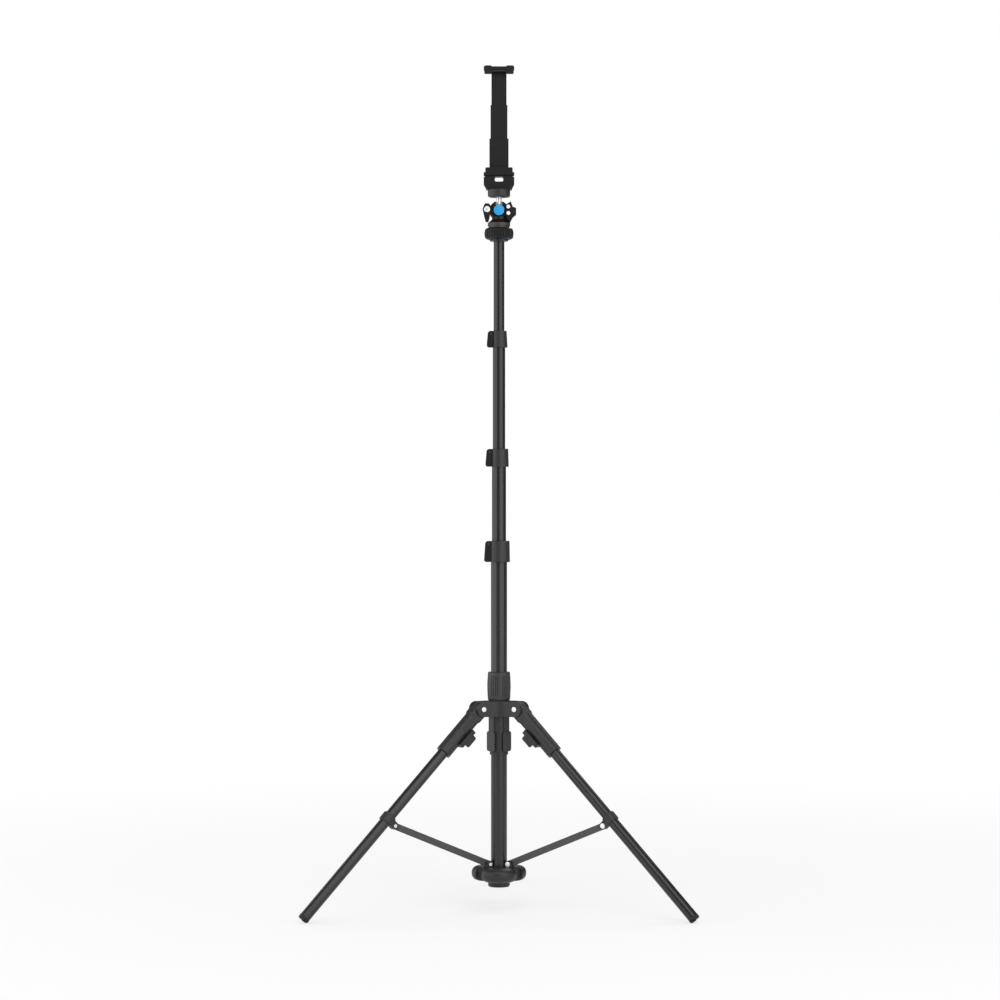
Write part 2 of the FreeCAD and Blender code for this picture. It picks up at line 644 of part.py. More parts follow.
# Sliding hub
def make_hub_body():
    low = HUB_PIVOT_HEIGHT - EAR_RADIUS
    corner = EAR_OUTER / math.sin(math.radians(60))
    fillet_centre = (EAR_OUTER + EAR_FILLET) / math.sin(math.radians(60))
    touch = (EAR_OUTER + EAR_FILLET) / math.tan(math.radians(60))
    solids = []
    for azimuth in LEG_AZIMUTHS:
        arm = box(0, HUB_PIVOT_RADIUS, -EAR_OUTER, EAR_OUTER, low, HUB_TOP)
        start = vec(HUB_PIVOT_RADIUS, -EAR_OUTER, HUB_PIVOT_HEIGHT)
        end = Part.makeCylinder(EAR_RADIUS, 2 * EAR_OUTER, start, Y_AXIS)
        solids.append(turn(fused(arm, end), azimuth))
        half_span = touch * math.cos(math.radians(60)) + EAR_OUTER * math.sin(math.radians(60))
        across = abs(touch * math.sin(math.radians(60)) - EAR_OUTER * math.cos(math.radians(60)))
        wedge = prism(
            [vec(0, 0, low), vec(half_span, -across, low), vec(half_span, across, low)],
            vec(0, 0, HUB_TOP - low)
        )
        hollow = cyl(EAR_FILLET, low - 1, HUB_TOP + 1, fillet_centre)
        solids.append(turn(wedge.cut(hollow), azimuth + 60))
    solids.append(cyl(max(corner, EAR_WEB_RADIUS - 1), low, HUB_TOP))
    body = fused(*solids)
    for azimuth in LEG_AZIMUTHS:
        slot = box(EAR_WEB_RADIUS, CUT * 2, -EAR_INNER, EAR_INNER, low - 1, HUB_TOP + 1)
        start = vec(HUB_PIVOT_RADIUS, -CUT, HUB_PIVOT_HEIGHT)
        hole = Part.makeCylinder(HUB_RIVET_RADIUS + GLUE_GAP, 2 * CUT, start, Y_AXIS)
        body = body.cut(turn(slot, azimuth)).cut(turn(hole, azimuth))
    foot = HUB_PIVOT_HEIGHT - HUB_SLEEVE_DROP
    sleeve = cyl(HUB_SLEEVE_RADIUS, foot, low + 1)
    lip = cyl(HUB_LIP_RADIUS, foot, foot + HUB_LIP_HEIGHT)
    extras = [sleeve, lip, cyl(COLLET_RADIUS, HUB_TOP - 1, HUB_TOP + COLLET_BOSS)]
    for azimuth in LEG_AZIMUTHS:
        plate = rounded_box(
            PLATE_RADIUS - PLATE_THICK, PLATE_RADIUS, -PLATE_HALF_WIDTH, PLATE_HALF_WIDTH,
            PLATE_CENTRE - PLATE_HALF_HEIGHT, PLATE_CENTRE + PLATE_HALF_HEIGHT,
            PLATE_CORNER, X_AXIS
        )
        rib = box(
            HUB_BORE, HUB_LIP_RADIUS, -RIB_HALF_WIDTH, RIB_HALF_WIDTH,
            PLATE_CENTRE, low + 1
        )
        extras.append(turn(plate, azimuth))
        extras.append(turn(rib, azimuth))
    body = fused(body, *extras)
    return body.cut(cyl(HUB_BORE, 0, MAIN_TOP)).removeSplitter()


def make_hub_rivets():
    # Each ear has its own short rivet, flush with the ear's inner face
    rivets = []
    for azimuth in LEG_AZIMUTHS:
        for side in (-1, 1):
            outer = vec(HUB_PIVOT_RADIUS, side * EAR_OUTER, HUB_PIVOT_HEIGHT)
            inner = vec(HUB_PIVOT_RADIUS, side * EAR_INNER, HUB_PIVOT_HEIGHT)
            direction = vec(0, side)
            shank = rod(HUB_RIVET_RADIUS, inner, outer)
            head = dome(HUB_RIVET_HEAD, HUB_RIVET_HEIGHT, outer, direction)
            rivets.append(turn(fused(shank, head), azimuth))
    return Part.makeCompound(rivets)


def make_hub_collet():
    foot = HUB_TOP + COLLET_BOSS
    top = foot + COLLET_LENGTH
    body = turned([
        (HUB_BORE, foot), (COLLET_RADIUS - SIDE_GAP, foot),
        (COLLET_RADIUS - SIDE_GAP, top - COLLET_TAPER),
        (COLLET_TIP_RADIUS, top), (HUB_BORE, top)
    ])
    for index in range(COLLET_SLITS):
        half = COLLET_SLIT / 2
        slit = box(0, CUT, -half, half, foot + COLLET_SLIT * 4, top + 1)
        body = body.cut(turn(slit, 360 / COLLET_SLITS * index + 45))
    return body


def make_twist_grip():
    top = GRIP_FOOT + GRIP_HEIGHT
    taper_top = HUB_TOP + COLLET_BOSS + COLLET_LENGTH + SIDE_GAP
    taper_foot = taper_top - COLLET_TAPER
    third = GRIP_HEIGHT / 3
    body = turned([
        (COLLET_RADIUS + RUN_GAP, GRIP_FOOT), (GRIP_LOW_RADIUS - GRIP_EDGE, GRIP_FOOT),
        (GRIP_LOW_RADIUS, GRIP_FOOT + GRIP_EDGE), (GRIP_MID_RADIUS - GRIP_SWELL, GRIP_FOOT + third),
        (GRIP_MID_RADIUS, GRIP_FOOT + GRIP_HEIGHT / 2), (GRIP_MID_RADIUS - GRIP_SWELL, top - third),
        (GRIP_TOP_RADIUS, top - GRIP_EDGE), (GRIP_TOP_RADIUS - GRIP_EDGE, top),
        (GRIP_MOUTH_RADIUS, top), (GRIP_MOUTH_RADIUS, taper_top + 1),
        (COLLET_TIP_RADIUS + SIDE_GAP, taper_top),
        (COLLET_RADIUS + RUN_GAP, taper_foot)
    ])
    groove_low = GRIP_FOOT + GRIP_GROOVE_END
    groove_high = top - GRIP_GROOVE_END
    for group in range(GRIP_GROUPS):
        for groove in range(GRIP_GROUP_GROOVES):
            azimuth = 360 / GRIP_GROUPS * group + GRIP_GROOVE_PITCH * groove
            shape = cyl(GRIP_GROOVE_RADIUS, groove_low, groove_high, GRIP_MID_RADIUS + GRIP_SWELL)
            body = body.cut(turn(shape, azimuth + GRIP_GROOVE_START))
    return body


# Mast sections
def mast_bush(bore, outer_bore, foot):
    flange = cyl(outer_bore - RUN_GAP, foot - BUSH_FLANGE, foot)
    return fused(flange, cyl(bore - GLUE_GAP, foot - BUSH_FLANGE, foot + BUSH_SPIGOT))


# Flip locks: a collar on the outer tube, a lever with a cam on a pin across its ears
class FlipLock:
    def __init__(self, outer_od, inner_od, tube_top, grip, height, low_radius, top_radius,
                 reach, half_width):
        self.outer = outer_od / 2
        self.inner = inner_od / 2
        self.shoulder = tube_top
        self.low = tube_top - grip
        self.high = self.low + height
        self.low_radius = low_radius
        self.top_radius = top_radius
        self.reach = reach
        self.half_width = half_width
        self.pin_x = -(reach - LEVER_LEAN - LEVER_ROUND)
        self.pin_z = self.high - LEVER_TOP_GAP - LEVER_ROUND
        self.flat_x = self.pin_x + LEVER_ROUND + SIDE_GAP
        self.ear_half = half_width - LEVER_CHEEK - SIDE_GAP

    def collar(self):
        body = turned([
            (self.inner + RUN_GAP, self.high), (self.inner + RUN_GAP, self.shoulder),
            (self.outer + GLUE_GAP, self.shoulder), (self.outer + GLUE_GAP, self.low),
            (self.low_radius - LOCK_EDGE, self.low), (self.low_radius, self.low + LOCK_EDGE),
            (self.top_radius, self.high - LOCK_EDGE), (self.top_radius - LOCK_EDGE, self.high)
        ])
        flat = box(-CUT, self.flat_x, -CUT, CUT, self.low - 1, self.high + 1)
        body = body.cut(flat)
        block = box(
            self.pin_x, self.flat_x + 1, -self.ear_half, self.ear_half,
            self.pin_z - LOCK_EAR_RADIUS, self.pin_z + LOCK_EAR_RADIUS
        )
        start = vec(self.pin_x, -self.ear_half, self.pin_z)
        knuckle = Part.makeCylinder(LOCK_EAR_RADIUS, 2 * self.ear_half, start, Y_AXIS)
        # Between the lever's cheeks a spine runs up the flat and widens to a shelf at the top
        top = self.high - LEVER_TOP_GAP
        spine = box(
            self.flat_x - LOCK_SPINE, self.flat_x + 1, -self.ear_half, self.ear_half,
            self.low + LOCK_EDGE, top
        )
        shelf = box(
            self.pin_x + LOCK_SPINE, self.flat_x + 1, -self.ear_half, self.ear_half,
            self.pin_z, top
        )
        ears = fused(block, knuckle, spine, shelf)
        ears = ears.cut(cyl(self.outer + GLUE_GAP, self.low - 1, self.high + 1))
        cam_reach = -self.pin_x
        window = box(
            -CUT, -self.inner / 2, -CAM_HALF - SIDE_GAP, CAM_HALF + SIDE_GAP,
            self.pin_z - cam_reach / 2, self.high + 1
        )
        hole_start = vec(self.pin_x, -CUT, self.pin_z)
        hole = Part.makeCylinder(LOCK_PIN_RADIUS + GLUE_GAP, 2 * CUT, hole_start, Y_AXIS)
        return fused(body, ears).cut(window).cut(hole)

    def lever(self):
        low = self.low + LEVER_TOP_GAP
        foot_x = -self.reach
        top_x = self.pin_x - LEVER_ROUND
        back_x = self.flat_x - SIDE_GAP
        half = self.half_width
        side = upright_prism([
            (foot_x, low), (back_x, low), (back_x, self.pin_z), (top_x, self.pin_z)
        ], -half, half)
        corner = [
            e for e in side.Edges
            if abs(e.tangentAt(e.FirstParameter).dot(Y_AXIS)) > 0.99
            and e.BoundBox.XMax < foot_x + 0.01
        ]
        side = side.makeFillet(LEVER_FOOT_ROUND, corner)
        start = vec(self.pin_x, -half, self.pin_z)
        side = fused(side, Part.makeCylinder(LEVER_ROUND, 2 * half, start, Y_AXIS))
        inner = half - LEVER_CHEEK
        hollow = upright_prism([
            (foot_x + LEVER_BACK, low - 1), (CUT, low - 1), (CUT, self.high + 1),
            (self.pin_x - LEVER_ROUND + LEVER_BACK, self.high + 1),
            (self.pin_x - LEVER_ROUND + LEVER_BACK, self.pin_z)
        ], -inner, inner)
        over = box(-CUT, CUT, -inner, inner, self.pin_z - LEVER_CREST, self.high + 1)
        shell = side.cut(hollow).cut(over)
        cam_start = vec(self.pin_x, -CAM_HALF, self.pin_z)
        nose_half = CAM_BACK_RADIUS / 3
        cam_reach = math.sqrt((-self.pin_x - self.inner - SIDE_GAP) ** 2 - nose_half ** 2)
        cam = Part.makeCylinder(CAM_BACK_RADIUS, 2 * CAM_HALF, cam_start, Y_AXIS)
        nose = upright_prism([
            (self.pin_x, self.pin_z + CAM_BACK_RADIUS), (self.pin_x, self.pin_z - CAM_BACK_RADIUS),
            (self.pin_x + cam_reach, self.pin_z - nose_half),
            (self.pin_x + cam_reach, self.pin_z + nose_half)
        ], -CAM_HALF, CAM_HALF)
        web = box(
            top_x + LEVER_BACK / 2, self.pin_x + CAM_BACK_RADIUS - 1, -CAM_HALF, CAM_HALF,
            self.pin_z - CAM_BACK_RADIUS * 2, self.pin_z
        )
        hole_start = vec(self.pin_x, -CUT, self.pin_z)
        hole = Part.makeCylinder(LOCK_PIN_RADIUS + RUN_GAP, 2 * CUT, hole_start, Y_AXIS)
        return fused(shell, cam, nose, web).cut(hole)

    def pin(self):
        half = self.half_width - SIDE_GAP
        start = vec(self.pin_x, -half, self.pin_z)
        return Part.makeCylinder(LOCK_PIN_RADIUS, 2 * half, start, Y_AXIS)


# Ball head
def make_top_plug():
    lip = cyl(PLUG_LIP_RADIUS, MAST1_TOP, MAST1_TOP + PLUG_LIP)
    lip = round_rims(lip, PLUG_EDGE, [MAST1_TOP])
    spigot = cyl(MAST1_BORE - GLUE_GAP, MAST1_TOP - PLUG_SPIGOT, MAST1_TOP + 1)
    stud = cyl(PLUG_STUD_RADIUS, MAST1_TOP, CONE_FOOT)
    return fused(lip, spigot, stud)


def make_head_collar():
    low = COLLAR_RING_FOOT
    high = NECK_FOOT
    body = turned([
        (PLUG_STUD_RADIUS + RUN_GAP, low), (COLLAR_RING_FOOT_RADIUS, low),
        (COLLAR_RING_EDGE_RADIUS, low + COLLAR_RING_BEVEL),
        (COLLAR_RING_RADIUS, low + COLLAR_RING_LAND_LOW),
        (COLLAR_RING_RADIUS, low + COLLAR_RING_LAND_HIGH),
        (COLLAR_RING_EDGE_RADIUS, high - COLLAR_RING_BEVEL),
        (NECK_RADIUS, high), (PLUG_STUD_RADIUS + RUN_GAP, high)
    ])
    groove_low = low + COLLAR_RING_GROOVE_END
    groove_high = high - COLLAR_RING_GROOVE_END
    for index in range(COLLAR_RING_GROOVES):
        groove = cyl(COLLAR_RING_GROOVE, groove_low, groove_high, COLLAR_RING_RADIUS)
        body = body.cut(turn(groove, 360 / COLLAR_RING_GROOVES * index))
    return body


def make_neck_ring():
    bore = PLUG_STUD_RADIUS + RUN_GAP
    return turned([
        (bore, NECK_FOOT), (NECK_GROOVE_RADIUS, NECK_FOOT), (NECK_GROOVE_RADIUS, BAND_FOOT),
        (NECK_RADIUS, BAND_FOOT), (NECK_RADIUS, CONE_FOOT), (bore, CONE_FOOT)
    ])


def tilt_cutter(half_width, start_angle, end_angle, reach):
    # The space that the stem sweeps in the YZ plane, from the front lean to the back notch
    centre = vec(0, 0, BALL_HEIGHT)
    pieces = []
    for angle in (start_angle, end_angle):
        direction = vec(0, math.sin(math.radians(angle)), math.cos(math.radians(angle)))
        pieces.append(Part.makeCylinder(half_width, reach, centre, direction))
    fan = [vec(-half_width, 0, BALL_HEIGHT)]
    steps = 4
    for index in range(steps + 1):
        angle = math.radians(start_angle + (end_angle - start_angle) * index / steps)
        fan.append(vec(-half_width, reach * math.sin(angle), BALL_HEIGHT + reach * math.cos(angle)))
    pieces.append(prism(fan, vec(2 * half_width, 0)))
    return fused(*pieces)


def make_ball_housing():
    centre = vec(0, -HOUSING_FRONT, BALL_HEIGHT)
    drum = Part.makeCylinder(HOUSING_RADIUS, HOUSING_FRONT + HOUSING_BACK, centre, Y_AXIS)
    drum = drum.makeChamfer(HOUSING_EDGE, [e for e in drum.Edges if len(e.Vertexes) == 1])
    nose_start = vec(0, -HOUSING_NOSE, BALL_HEIGHT)
    nose = Part.makeCylinder(HOUSING_NOSE_RADIUS, HOUSING_NOSE, nose_start, Y_AXIS)
    foot = turned([
        (0, CONE_FOOT), (NECK_RADIUS - HOUSING_FOOT_STEP, CONE_FOOT),
        (CONE_TOP_RADIUS, CONE_FOOT + CONE_HEIGHT),
        (CONE_TOP_RADIUS, BALL_HEIGHT - BALL_RADIUS), (0, BALL_HEIGHT - BALL_RADIUS)
    ])
    axle = BALL_HEIGHT + LEVER_AXIS_RISE
    lug_front = -BALL_LEVER_FRONT + BALL_LEVER_THICK + SIDE_GAP
    lug_start = vec(LEVER_AXIS_X, lug_front, axle)
    lug = Part.makeCylinder(LEVER_CAP_RADIUS, 2 * LEVER_CAP_RADIUS, lug_start, Y_AXIS)
    bridge = box(
        LEVER_AXIS_X, 0, lug_front, lug_front + 2 * LEVER_CAP_RADIUS,
        axle - LEVER_CAP_RADIUS, axle + LEVER_CAP_RADIUS
    )
    post_start = vec(LEVER_AXIS_X, -BALL_LEVER_FRONT + LEVER_COVER, axle)
    post = Part.makeCylinder(LEVER_POST_RADIUS, BALL_LEVER_THICK + LEVER_COVER, post_start, Y_AXIS)
    seat_edge = BRACKET_SCREW_X + BRACKET_SCREW_RADIUS
    seat_top = BALL_HEIGHT + 2 * BRACKET_SCREW_HALF_PITCH
    seat = upright_prism([
        (0, CONE_FOOT), (NECK_RADIUS - HOUSING_FOOT_STEP, CONE_FOOT),
        (seat_edge, BALL_HEIGHT - BRACKET_SEAT_DROP), (seat_edge, seat_top), (0, seat_top)
    ], -BRACKET_FRONT + BRACKET_THICK, HOUSING_BACK - BRACKET_SEAT_INSET)
    body = fused(drum, nose, foot, lug, bridge, post, seat)
    socket = Part.makeSphere(BALL_RADIUS + BALL_GAP, vec(0, 0, BALL_HEIGHT))
    mouth_reach = 2 * HOUSING_RADIUS
    mouth = Part.makeCone(
        0, mouth_reach * math.tan(math.radians(SOCKET_HALF_ANGLE)), mouth_reach,
        vec(0, 0, BALL_HEIGHT)
    )
    sweep = tilt_cutter(NOTCH_HALF, -TILT_FORWARD, 90, CUT)
    recess_start = vec(0, -HOUSING_NOSE - 1, BALL_HEIGHT)
    recess = Part.makeCylinder(CAP_RADIUS + GLUE_GAP, CAP_DEPTH + 1, recess_start, Y_AXIS)
    body = body.cut(fused(socket, mouth, sweep)).cut(recess)
    for side in (-1, 1):
        rise = side * BRACKET_SCREW_HALF_PITCH + BRACKET_SCREW_RISE
        start = vec(BRACKET_SCREW_X, -BRACKET_FRONT, BALL_HEIGHT + rise)
        depth = BRACKET_THICK + BRACKET_SHANK
        body = body.cut(Part.makeCylinder(BRACKET_SHANK_RADIUS + GLUE_GAP, depth, start, Y_AXIS))
    return body


def make_ball_cap():
    start = vec(0, -HOUSING_NOSE, BALL_HEIGHT)
    cap = Part.makeCylinder(CAP_RADIUS, CAP_DEPTH, start, Y_AXIS)
    for index in range(CAP_RINGS):
        radius = CAP_RADIUS * (index + 1) / (CAP_RINGS + 1)
        groove = Part.makeCylinder(radius + CAP_GROOVE_HALF, CAP_GROOVE_DEPTH, start, Y_AXIS)
        core = Part.makeCylinder(radius - CAP_GROOVE_HALF, CAP_GROOVE_DEPTH, start, Y_AXIS)
        cap = cap.cut(groove.cut(core))
    return cap


def make_side_bracket():
    points = [(x, BALL_HEIGHT + z) for x, z in BRACKET_OUTLINE]
    body = upright_prism(points, -BRACKET_FRONT, -BRACKET_FRONT + BRACKET_THICK)
    start = vec(0, -HOUSING_FRONT - GLUE_GAP, BALL_HEIGHT)
    drum = Part.makeCylinder(HOUSING_RADIUS + GLUE_GAP, CUT, start, Y_AXIS)
    body = body.cut(drum)
    for side in (-1, 1):
        rise = side * BRACKET_SCREW_HALF_PITCH + BRACKET_SCREW_RISE
        spot = vec(BRACKET_SCREW_X, -CUT, BALL_HEIGHT + rise)
        body = body.cut(Part.makeCylinder(BRACKET_SHANK_RADIUS + GLUE_GAP, 2 * CUT, spot, Y_AXIS))
    return body


def make_bracket_screws():
    screws = []
    for side in (-1, 1):
        rise = side * BRACKET_SCREW_HALF_PITCH + BRACKET_SCREW_RISE
        face = vec(BRACKET_SCREW_X, -BRACKET_FRONT, BALL_HEIGHT + rise)
        head = dome(BRACKET_SCREW_RADIUS, BRACKET_SCREW_HEIGHT, face, vec(0, -1))
        shank = rod(BRACKET_SHANK_RADIUS, face, face + vec(0, BRACKET_THICK + BRACKET_SHANK - 1))
        screws.append(fused(head, shank))
    return Part.makeCompound(screws)


def make_ball_lever():
    axle = BALL_HEIGHT + LEVER_AXIS_RISE
    points = [(LEVER_AXIS_X + x, axle + z) for x, z in LEVER_OUTLINE]
    body = upright_prism(points, -BALL_LEVER_FRONT, -BALL_LEVER_FRONT + BALL_LEVER_THICK)
    start = vec(LEVER_AXIS_X, -BALL_LEVER_FRONT + LEVER_COVER, axle)
    post = Part.makeCylinder(LEVER_POST_RADIUS + RUN_GAP, CUT, start, Y_AXIS)
    return body.cut(post)


def make_lever_cap():
    face = vec(LEVER_AXIS_X, -BALL_LEVER_FRONT, BALL_HEIGHT + LEVER_AXIS_RISE)
    return dome(LEVER_CAP_RADIUS, LEVER_CAP_HEIGHT, face, vec(0, -1))


def make_ball_stem():
    ball = Part.makeSphere(BALL_RADIUS, vec(0, 0, BALL_HEIGHT))
    stem = cyl(STEM_RADIUS, BALL_HEIGHT, DISC_FOOT)
    stud = cyl(SWIVEL_STUD_RADIUS, DISC_FOOT - 1, CLAMP_FOOT + SWIVEL_STUD_HEIGHT)
    return fused(ball, stem, stud)


def make_mount_disc():
    disc = cyl(DISC_RADIUS, DISC_FOOT, CLAMP_FOOT)
    disc = round_rims(disc, DISC_EDGE, [DISC_FOOT])
    return disc.cut(cyl(SWIVEL_STUD_RADIUS + GLUE_GAP, DISC_FOOT - 1, CLAMP_FOOT + 1))


# Clamp: a lower jaw with a guide, a middle slide, and an upper jaw on a blade
def guide_section(inset):
    half = GUIDE_HALF - inset
    return (-half, half, CLAMP_BACK + inset, CLAMP_BACK + GUIDE_DEPTH - inset)


def hollow_guide(outer_inset, wall, low, high):
    outer = box(*guide_section(outer_inset), low, high)
    return outer.cut(box(*guide_section(outer_inset + wall), low - 1, high + 1))


def make_clamp_base():
    back = CLAMP_BACK + GUIDE_DEPTH
    low = CLAMP_FOOT
    body_top = low + WINDOW_HIGH
    shoulder = low + CLAMP_FLANGE
    flange = rounded_box(
        -CLAMP_FOOT_HALF, CLAMP_FOOT_HALF, CLAMP_FRONT, back, low, shoulder,
        CLAMP_CORNER, Z_AXIS
    )
    foot_rise = low + CLAMP_FOOT_RISE
    wide_low = low + CLAMP_WIDE_LOW
    wide_high = low + CLAMP_WIDE_HIGH
    lower = upright_prism([
        (-CLAMP_FOOT_HALF, foot_rise), (CLAMP_FOOT_HALF, foot_rise),
        (CLAMP_WIDE, wide_low), (CLAMP_WIDE, wide_high),
        (CLAMP_HALF_WIDTH, body_top), (-CLAMP_HALF_WIDTH, body_top),
        (-CLAMP_WIDE, wide_high), (-CLAMP_WIDE, wide_low)
    ], CLAMP_FRONT + CLAMP_FACE_SETBACK, back)
    wall = box(
        -CLAMP_HALF_WIDTH, CLAMP_HALF_WIDTH, CLAMP_BACK, back,
        body_top - 1, PAD_TOP + LIP_RISE
    )
    shelf = box(
        -CLAMP_HALF_WIDTH, CLAMP_HALF_WIDTH, CLAMP_FRONT, CLAMP_BACK + 1,
        SHELF_TOP - SHELF_THICK, SHELF_TOP
    )
    lip = rounded_box(
        -CLAMP_HALF_WIDTH, CLAMP_HALF_WIDTH, CLAMP_FRONT, CLAMP_FRONT + LIP_THICK,
        SHELF_TOP - SHELF_THICK, PAD_TOP + LIP_RISE, LIP_CORNER, Y_AXIS
    )
    web_half = CLAMP_HALF_WIDTH - CLAMP_WEB_INSET
    web_front = CLAMP_FRONT + CLAMP_WEB_SETBACK
    web = box(-web_half, web_half, web_front, CLAMP_BACK + 1, body_top - 1, SHELF_TOP - 1)
    cheeks = []
    for side in (-1, 1):
        inner = side * web_half
        outer = side * CLAMP_WIDE
        cheeks.append(box(
            min(inner, outer), max(inner, outer), web_front, CLAMP_BACK + 1,
            body_top + CLAMP_CHEEK_GAP, SHELF_TOP + CLAMP_WEB_INSET
        ))
    guide = box(*guide_section(0), body_top - 1, low + GUIDE_TOP)
    body = fused(flange, lower, wall, shelf, lip, web, guide, *cheeks)
    channel_low = low + SLIDE_BOTTOM - SLIDE_TRAVEL - SLIDE_SPARE
    body = body.cut(box(*guide_section(GUIDE_WALL), channel_low, low + GUIDE_TOP + 1))
    window = rounded_box(
        -WINDOW_HALF, WINDOW_HALF, -CUT, CUT, low + WINDOW_LOW, low + WINDOW_HIGH,
        WINDOW_CORNER, Y_AXIS
    )
    stud = cyl(SWIVEL_STUD_RADIUS + RUN_GAP, low - 1, low + SWIVEL_STUD_HEIGHT + SIDE_GAP)
    return body.cut(window).cut(stud).removeSplitter()


def make_pad(low, high):
    half = CLAMP_HALF_WIDTH - PAD_INSET
    return box(-half, half, PAD_FRONT, PAD_BACK, low, high)


def make_clamp_slide():
    low = CLAMP_FOOT + SLIDE_BOTTOM
    return hollow_guide(GUIDE_WALL + GUIDE_GAP, SLIDE_WALL, low, low + SLIDE_LENGTH)


def make_upper_jaw():
    inset = GUIDE_WALL + GUIDE_GAP + SLIDE_WALL + GUIDE_GAP
    blade_low = CLAMP_FOOT + SLIDE_BOTTOM + SLIDE_LENGTH - BLADE_OVERLAP
    blade = box(*guide_section(inset), blade_low, JAW_FOOT + 1)
    roof = rounded_box(
        -CLAMP_WIDE, CLAMP_WIDE, CLAMP_FRONT, CLAMP_BACK + GUIDE_DEPTH, JAW_FOOT, JAW_TOP,
        CLAMP_CORNER, Z_AXIS
    )
    hooks = []
    for side in (-1, 1):
        inner = side * HOOK_INNER
        outer = side * HOOK_OUTER
        hooks.append(rounded_box(
            min(inner, outer), max(inner, outer), CLAMP_FRONT, CLAMP_FRONT + LIP_THICK,
            JAW_PAD_FOOT - HOOK_DROP, JAW_TOP + HOOK_RISE, LIP_CORNER, Y_AXIS
        ))
    return fused(blade, roof, *hooks)


def build():
    parts["main_tube"] = make_main_tube()
    parts["end_boss"] = make_end_boss()
    parts["spreader_hub"] = make_spreader_hub()
    parts["spreader_rivets"] = make_spreader_rivets()
    parts["hub_body"] = make_hub_body()
    parts["hub_rivets"] = make_hub_rivets()
    parts["hub_collet"] = make_hub_collet()
    parts["twist_grip"] = make_twist_grip()
    leg_pieces = {
        "leg_sleeve": make_leg_sleeve(),
        "leg_tube": make_leg_tube(),
        "leg_foot": make_leg_foot(),
        "leg_clip": make_leg_clip(),
        "strut_collar": make_strut_collar(),
        "collar_rivet": make_collar_rivet(),
    }
    for number, azimuth in enumerate(LEG_AZIMUTHS, start=1):
        for name, shape in leg_pieces.items():
            parts[f"{name}_{number}"] = set_leg(shape, azimuth)
        reach = 2 * LEG_END
        ground = box(-reach, reach, -reach, reach, FLOOR_HEIGHT - CUT, FLOOR_HEIGHT)
        parts[f"leg_foot_{number}"] = parts[f"leg_foot_{number}"].cut(ground)
        parts[f"strut_{number}"] = make_strut(azimuth)

    parts["mast_tube_3"] = ring(MAST3_OD / 2, MAST3_BORE, MAST3_FOOT, MAST3_TOP)
    parts["mast_tube_2"] = ring(MAST2_OD / 2, MAST2_BORE, MAST2_FOOT, MAST2_TOP)
    parts["mast_tube_1"] = ring(MAST1_OD / 2, MAST1_BORE, MAST1_FOOT, MAST1_TOP)
    parts["mast_bush_3"] = mast_bush(MAST3_BORE, MAIN_BORE, MAST3_FOOT)
    parts["mast_bush_2"] = mast_bush(MAST2_BORE, MAST3_BORE, MAST2_FOOT)
    parts["mast_bush_1"] = mast_bush(MAST1_BORE, MAST2_BORE, MAST1_FOOT)
    locks = {
        3: FlipLock(MAIN_OD, MAST3_OD, MAIN_TOP, LOCK3_GRIP, LOCK3_HEIGHT, LOCK3_LOW_RADIUS,
                    LOCK3_TOP_RADIUS, LOCK3_LEVER_REACH, LOCK3_LEVER_HALF),
        2: FlipLock(MAST3_OD, MAST2_OD, MAST3_TOP, LOCK2_GRIP, LOCK2_HEIGHT, LOCK2_LOW_RADIUS,
                    LOCK2_TOP_RADIUS, LOCK2_LEVER_REACH, LOCK2_LEVER_HALF),
        1: FlipLock(MAST2_OD, MAST1_OD, MAST2_TOP, LOCK1_GRIP, LOCK1_HEIGHT, LOCK1_LOW_RADIUS,
                    LOCK1_TOP_RADIUS, LOCK1_LEVER_REACH, LOCK1_LEVER_HALF),
    }
    for number, lock in locks.items():
        parts[f"flip_collar_{number}"] = lock.collar()
        parts[f"flip_lever_{number}"] = lock.lever()
        parts[f"flip_pin_{number}"] = lock.pin()
        print("lock", number, "pin at", round(lock.pin_x, 3), round(lock.pin_z, 3))

    parts["top_plug"] = make_top_plug()
    parts["head_collar"] = make_head_collar()
    parts["neck_ring"] = make_neck_ring()
    parts["ball_housing"] = make_ball_housing()
    parts["ball_cap"] = make_ball_cap()
    parts["side_bracket"] = make_side_bracket()
    parts["bracket_screws"] = make_bracket_screws()
    parts["ball_lever"] = make_ball_lever()
    parts["lever_cap"] = make_lever_cap()
    parts["ball_stem"] = make_ball_stem()
    parts["mount_disc"] = make_mount_disc()
    parts["clamp_base"] = make_clamp_base()
    parts["lower_pad"] = make_pad(SHELF_TOP, PAD_TOP)
    parts["clamp_slide"] = make_clamp_slide()
    parts["upper_jaw"] = make_upper_jaw()
    parts["upper_pad"] = make_pad(JAW_PAD_FOOT, JAW_FOOT)


build()
os.makedirs("parts", exist_ok=True)
for name, shape in parts.items():
    shape.exportStep(f"parts/{name}.step")
print("strut length", round(STRUT_LENGTH, 3), "hub travel", round(HUB_TRAVEL, 3))
print("strut angle", round(STRUT_ANGLE, 3), "folded", round(FOLDED_STRUT_ANGLE, 3))
print("floor", round(FLOOR_HEIGHT, 3), "ball", round(BALL_HEIGHT, 3), "clamp", round(CLAMP_FOOT, 3))
print("device space", round(PAD_TOP, 3), round(JAW_PAD_FOOT, 3))
print("nodes", len(parts))
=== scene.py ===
# %% [markdown]
# # A floor tripod for phones and tablets
# A column of four tubes that slide in each other, three folding legs with their stays, a
# small ball head and a spring clamp. The solids of the tripod are already made, at their
# real size, and they are the fixed frame of this scene. It could all be modelled again by
# hand, but then sizes and joints would drift apart. So each solid keeps its place, and
# this scene gives it its looks: fine turned meshes for the round pieces, softened edges
# for the moulded ones, and a finish for each material. Everything is in metres, +Z is up,
# and the front faces -Y.

# %% Load the frame
import json
import math

